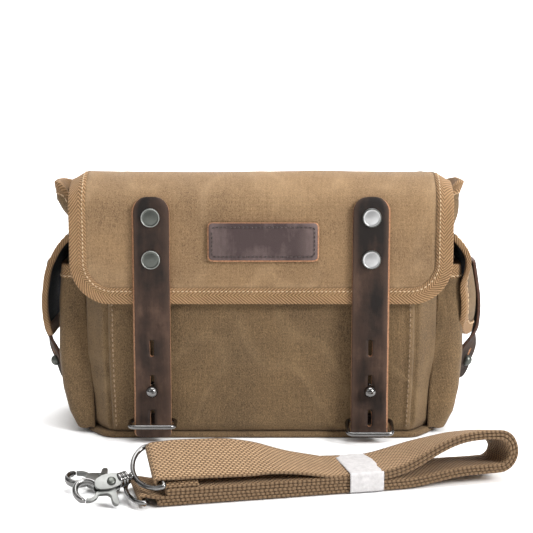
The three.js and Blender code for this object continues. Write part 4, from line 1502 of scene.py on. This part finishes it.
def webbing():
    """One ribbon from hook to hook: (u, z) path with the top strand tipped to the front."""
    start = [(26, 17.2), (14, 16.9)] + arc_points((3, 19.4), 2.65, 270, 90, 12)
    start += [(20, 22.4), (45, 21.8), (68, 19.8), (90, 15.2)]
    route = list(resample(rounded(start, 4.0), 1.2)[:-1])
    route += list(right_loop(0))
    route += left_fold(3, 5, 6)[::-1]
    route += list(right_loop(STRAND_PITCH)[::-1])
    route += left_fold(8, 2, 3)
    route += list(right_loop(2 * STRAND_PITCH))
    route += [(8, strand(4)), (2, strand(4)), (-2.4, 6.6)]
    route += arc_points((-6, 4.6), 2.65, 75, 290, 14)
    route = resample(route, 1.1)
    slope = slopes(route)
    normal = np.stack([-slope[:, 1], slope[:, 0]], 1)
    along = lengths(route)
    u = route[:, 0]
    on_top = smooth(158, 130, along)
    tilt = (REST_TILT + (TOP_TILT - REST_TILT) * (1 - smooth(45, 92, u))) * on_top
    tilt = np.where(along < 34, EYE_TILT, tilt)
    lift = smooth(150, 195, u)
    tilt = tilt - math.radians(8) * lift - math.radians(7) * smooth(145, 180, u) * smooth(
        9, 22, route[:, 1])
    tilt = np.convolve(np.pad(tilt, 8, mode="edge"), np.ones(17) / 17, mode="valid")

    half = WEB_WIDTH / 2
    thick = WEB_THICK / 2
    section = [(-half + 0.5, thick), (-half * 0.7, thick), (-half * 0.35, thick), (0, thick),
               (half * 0.35, thick), (half * 0.7, thick), (half - 0.5, thick), (half, thick * 0.4),
               (half, -thick * 0.4)]
    section += [(-a, -b) for a, b in section[:-2]]
    section += [(-half, -thick * 0.4), (-half, thick * 0.4)]
    section = np.array(section)
    sway = ripple(np.stack([along, along * 0, along * 0], 1), 60.0, 11.0) * 0.7
    across = np.stack([np.zeros_like(tilt), np.cos(tilt), np.sin(tilt)], 1)
    up = np.stack([normal[:, 0], -np.sin(tilt) * np.sign(normal[:, 1]),
                   normal[:, 1] * np.cos(tilt)], 1)
    centre = np.stack([u, sway, route[:, 1] + 2.8 * lift], 1)
    grid = centre[:, None] + across[:, None] * section[:, :1] + up[:, None] * section[:, 1:]
    ribbon = tube("shoulder_strap_webbing", to_bag(grid), (along, section[:, 0]), [WEBBING])
    fit(ribbon, "shoulder_strap", "webbing", "strap_webbing")


def paper_band():
    low, high = BAND_ENDS
    top = strand(1) + WEB_THICK / 2 + 0.4
    half = WEB_WIDTH / 2 + 1.1
    corners = [(-half, 0.35), (half, 0.35), (half, top), (-half, top)]
    loop = closed_loop(corners, 1.6, 1.2, 6)
    u = np.linspace(low, high, 16)
    grid = np.array([[(x, y + 0.25 * math.sin(x * 0.7 + y), z) for y, z in loop] for x in u])
    crinkle = ripple(grid, 9.0, 4.0) * 0.25
    grid[..., 2] += np.where(grid[..., 2] > 2, crinkle, 0)
    band = cloth("strap_paper_band", to_bag(grid), np.full(grid.shape[:2], 0.3),
                 to_bag(((low + high) / 2, 0, top / 2)), grid[..., :2], [PAPER] * 3, wrap=True)
    fit(band, "shoulder_strap", "paper", "paper_band")


HOOKS = {
    "hook_a": {"bar": (3, 0, 19.4), "reach": 15.0, "wire": 3.0, "bow": (-0.933, 0, -0.36),
               "post": (-11, 0, 14), "axis": (-0.92, -0.31, -0.15), "lever": 1, "roll": -40,
               "tilt": EYE_TILT},
    "hook_b": {"bar": (-6, 0, 4.6), "reach": 9.5, "wire": 2.6, "bow": (-1, 0, 0),
               "post": (-13.4, 13.5, 4.6), "axis": (-0.92, 0.38, 0.08), "lever": -1, "roll": -10,
               "tilt": 0.0},
}
EYE_HALF = 23.5
BORE = 2.15
PIVOT = (14.0, -0.5)
CLAW_CENTRE = (29.0, 0.0)
CLAW_RADIUS = 6.9


def hook_eye(name, hook):
    bow = unit(np.array(hook["bow"], float))
    across = np.array(Matrix.Rotation(-hook["tilt"], 3, Vector(bow))) @ (0, -1.0, 0)
    radius = hook["wire"] / 2
    half, reach = EYE_HALF - radius, hook["reach"] - radius
    outline = [(-half, 0), (half, 0)]
    outline += [(half * math.cos(a), reach * math.sin(a))
                for a in np.radians(np.linspace(8, 172, 40))]
    outline = closed_loop(outline, 2.2, 0.9, 4)
    bar = np.array(hook["bar"], float)
    path = to_bag([bar + across * v + bow * u for v, u in outline])
    ring = wire(f"{name}_eye_ring", path, radius, CHROME, closed=True, sides=16)
    axis = BUNDLE_AXES @ np.array(hook["axis"], float)
    post = turned(f"{name}_eye_post", [(0, -0.6), (2.2, -0.4), (2.4, 0.6), (1.7, 1.3), (1.7, 6.6),
                                       (1.4, 7.0), (0, 7.0)], to_bag(hook["post"]), axis, CHROME)
    eye = join(f"{name}_swivel_eye", [ring, post])
    fit(eye, "shoulder_strap", "nickel", f"{name}_eye")


def hook_axes(hook):
    axis = unit(np.array(hook["axis"], float))
    sideways = unit(np.cross(axis, (0, 0, 1.0)) * hook["lever"])
    sideways = np.array(Matrix.Rotation(math.radians(hook["roll"]), 3, Vector(axis))) @ sideways
    local = np.stack([axis, sideways, np.cross(axis, sideways)], 1)
    return BUNDLE_AXES @ local, to_bag(hook["post"])


def snap_hook(name, hook):
    """Barrel, forked body and open round claw; then the sprung trigger on its pin."""
    axes, origin = hook_axes(hook)
    barrel = turned(f"{name}_barrel", [
        (BORE, 2.9), (3.4, 2.9), (4.1, 3.2), (4.4, 3.8), (4.4, 4.6), (4.0, 4.9), (4.0, 5.3),
        (4.4, 5.6), (4.4, 6.4), (4.0, 6.7), (4.0, 7.1), (4.4, 7.4), (4.4, 8.6), (4.1, 9.3),
        (3.2, 9.6), (BORE, 9.6), (0.6, 9.4), (0.6, 7.7)], (0, 0, 0), (1, 0, 0), CHROME, 32)
    cheek = [(8.6, -4.0), (12, -4.7), (17, -4.7), (22.6, -3.2), (24.2, -1.6), (24.2, 1.6),
             (22, 4.4), (17, 5.3), (14, 5.2), (8.6, 4.1)]
    cheek = rounded(cheek, 1.6, 4, closed=True)
    parts = [barrel]
    for sign in (-1, 1):
        plate = prism(f"{name}_cheek", cheek, 0.68, HOOK_NICKEL, 0.3)
        parts.append(settle(plate, np.eye(3), (0, 0, sign * 2.5)))
    spine = rounded([(9.2, 3.2), (21.5, 3.2), (22.2, 4.4), (17, 5.3), (9.2, 4.1)], 0.4, 3,
                    closed=True)
    parts.append(prism(f"{name}_spine", spine, 2.4, HOOK_NICKEL, 0.2))
    arc = np.radians(np.linspace(165, -58, 60))
    centre_line = np.stack([CLAW_CENTRE[0] + CLAW_RADIUS * np.cos(arc),
                            CLAW_RADIUS * np.sin(arc), 0 * arc], 1)
    taper = np.interp(np.linspace(0, 1, 60), (0, 0.12, 0.5, 0.92, 1.0), (1.1, 1.0, 1.05, 0.9, 0.45))
    section = circle(1.0, 16)[None] * (taper[:, None, None] * np.array([1.7, 2.4]))
    parts.append(sweep(f"{name}_claw", centre_line, section, [CHROME], up=(0, 0, 1)))
    body = join(f"{name}_forged_body", parts)
    settle(body, axes, origin)

    gate = [(12, -2.5), (13, 1.6), (16, 1.2), (20, -1.8)]
    gate += arc_points(CLAW_CENTRE, CLAW_RADIUS - 1.6, 212, 299, 10)
    gate += arc_points(CLAW_CENTRE, CLAW_RADIUS + 0.5, 299, 222, 10)
    gate += [(19, -6.2), (17.6, -8), (18.4, -13), (17.6, -14.8), (15.4, -14.9), (14.2, -12),
             (13.2, -6)]
    trigger = prism(f"{name}_trigger_lever", rounded(gate, 0.9, 4, closed=True), 1.45,
                    HOOK_NICKEL, 0.4)
    settle(trigger, axes, origin)
    pin = turned(f"{name}_pin_rivet", [(0, -4.5), (1.6, -4.4), (2.6, -3.9), (2.6, -3.5), (1.4, -3.4),
                                       (1.4, 3.4), (2.6, 3.5), (2.6, 3.9), (1.6, 4.4), (0, 4.5)],
                 (*PIVOT, 0), (0, 0, 1), NICKEL, 28)
    settle(pin, axes, origin)
    rides = ((body, name, f"{name}_body"), (trigger, f"{name}_trigger", f"{name}_trigger"),
             (pin, name, f"{name}_pin"))
    for piece, body_name, node in rides:
        fit(piece, body_name, "nickel", node)


# ---- stage ----
CAMERA_PITCH = 9.0
CAMERA_AT = (0.0036, -0.969, 0.262)
CAMERA_LENS = 92.6
WORLD_RAMP = ((0.0, 1.0), (0.04, 0.97), (0.15, 0.28), (0.30, 0.36), (0.70, 0.85))
WORLD_STRENGTH = 0.6
LAMPS = (("key_light", (1.4, -1.1, 1.05), 0.7, 48), ("fill_light", (-1.4, -1.1, 1.0), 1.0, 3.5),
         ("top_light", (0.1, 0.0, 1.9), 1.5, 42), ("back_light", (0.0, 1.1, 1.2), 1.6, 20))


def stage():
    floor = Material("studio_white", Roughness=0.9, Base_Color=(0.93, 0.93, 0.93, 1.0))
    profile = rounded([(-2500, -0.4), (1500, -0.4), (2100, 2600)], 900, 24)
    grid = np.array([[(x, y, z) for y, z in profile] for x in (-3500, 3500)])
    backdrop = make("studio_backdrop", grid.reshape(-1, 3), grid_faces(*grid.shape[:2]),
                    [floor.material], uvs=grid.reshape(-1, 3)[:, :2])

    world = bpy.data.worlds.new("studio")
    bpy.context.scene.world = world
    world.use_nodes = True
    sky = world.node_tree.nodes["Background"]
    links = world.node_tree.links
    direction = world.node_tree.nodes.new("ShaderNodeTexCoord")
    split = world.node_tree.nodes.new("ShaderNodeSeparateXYZ")
    rise = world.node_tree.nodes.new("ShaderNodeValToRGB")
    set_stops(rise.color_ramp, [(position, (value,) * 3) for position, value in WORLD_RAMP])
    links.new(direction.outputs["Generated"], split.inputs[0])
    links.new(split.outputs[2], rise.inputs[0])
    links.new(rise.outputs[0], sky.inputs["Color"])
    sky.inputs["Strength"].default_value = WORLD_STRENGTH

    target = Vector((0, -0.05, 0.08))
    for name, spot, size, power in LAMPS:
        lamp = bpy.data.lights.new(name, "AREA")
        lamp.size = size
        lamp.energy = power
        light = link(name, lamp)
        light.location = spot
        light.rotation_euler = (target - Vector(spot)).to_track_quat("-Z", "Y").to_euler()

    lens = bpy.data.cameras.new("camera")
    lens.lens = CAMERA_LENS
    lens.sensor_width = 36.0
    camera = link("camera", lens)
    camera.location = CAMERA_AT
    camera.rotation_euler = (math.radians(90 - CAMERA_PITCH), 0, 0)
    bpy.context.scene.camera = camera
    bpy.context.scene.view_settings.view_transform = "Standard"


stage()
webbing()
paper_band()
for hook_name, hook_data in HOOKS.items():
    hook_eye(hook_name, hook_data)
    snap_hook(hook_name, hook_data)
base_panel()
body_shell()
front_pocket()
for side_name, side_sign in SIDES:
    side_pocket(side_name, side_sign)
    pocket_flap(side_name, side_sign)
    keeper(side_name, side_sign)
    anchor(side_name, side_sign)
insert()
flap()
closing_straps()
name_patch()
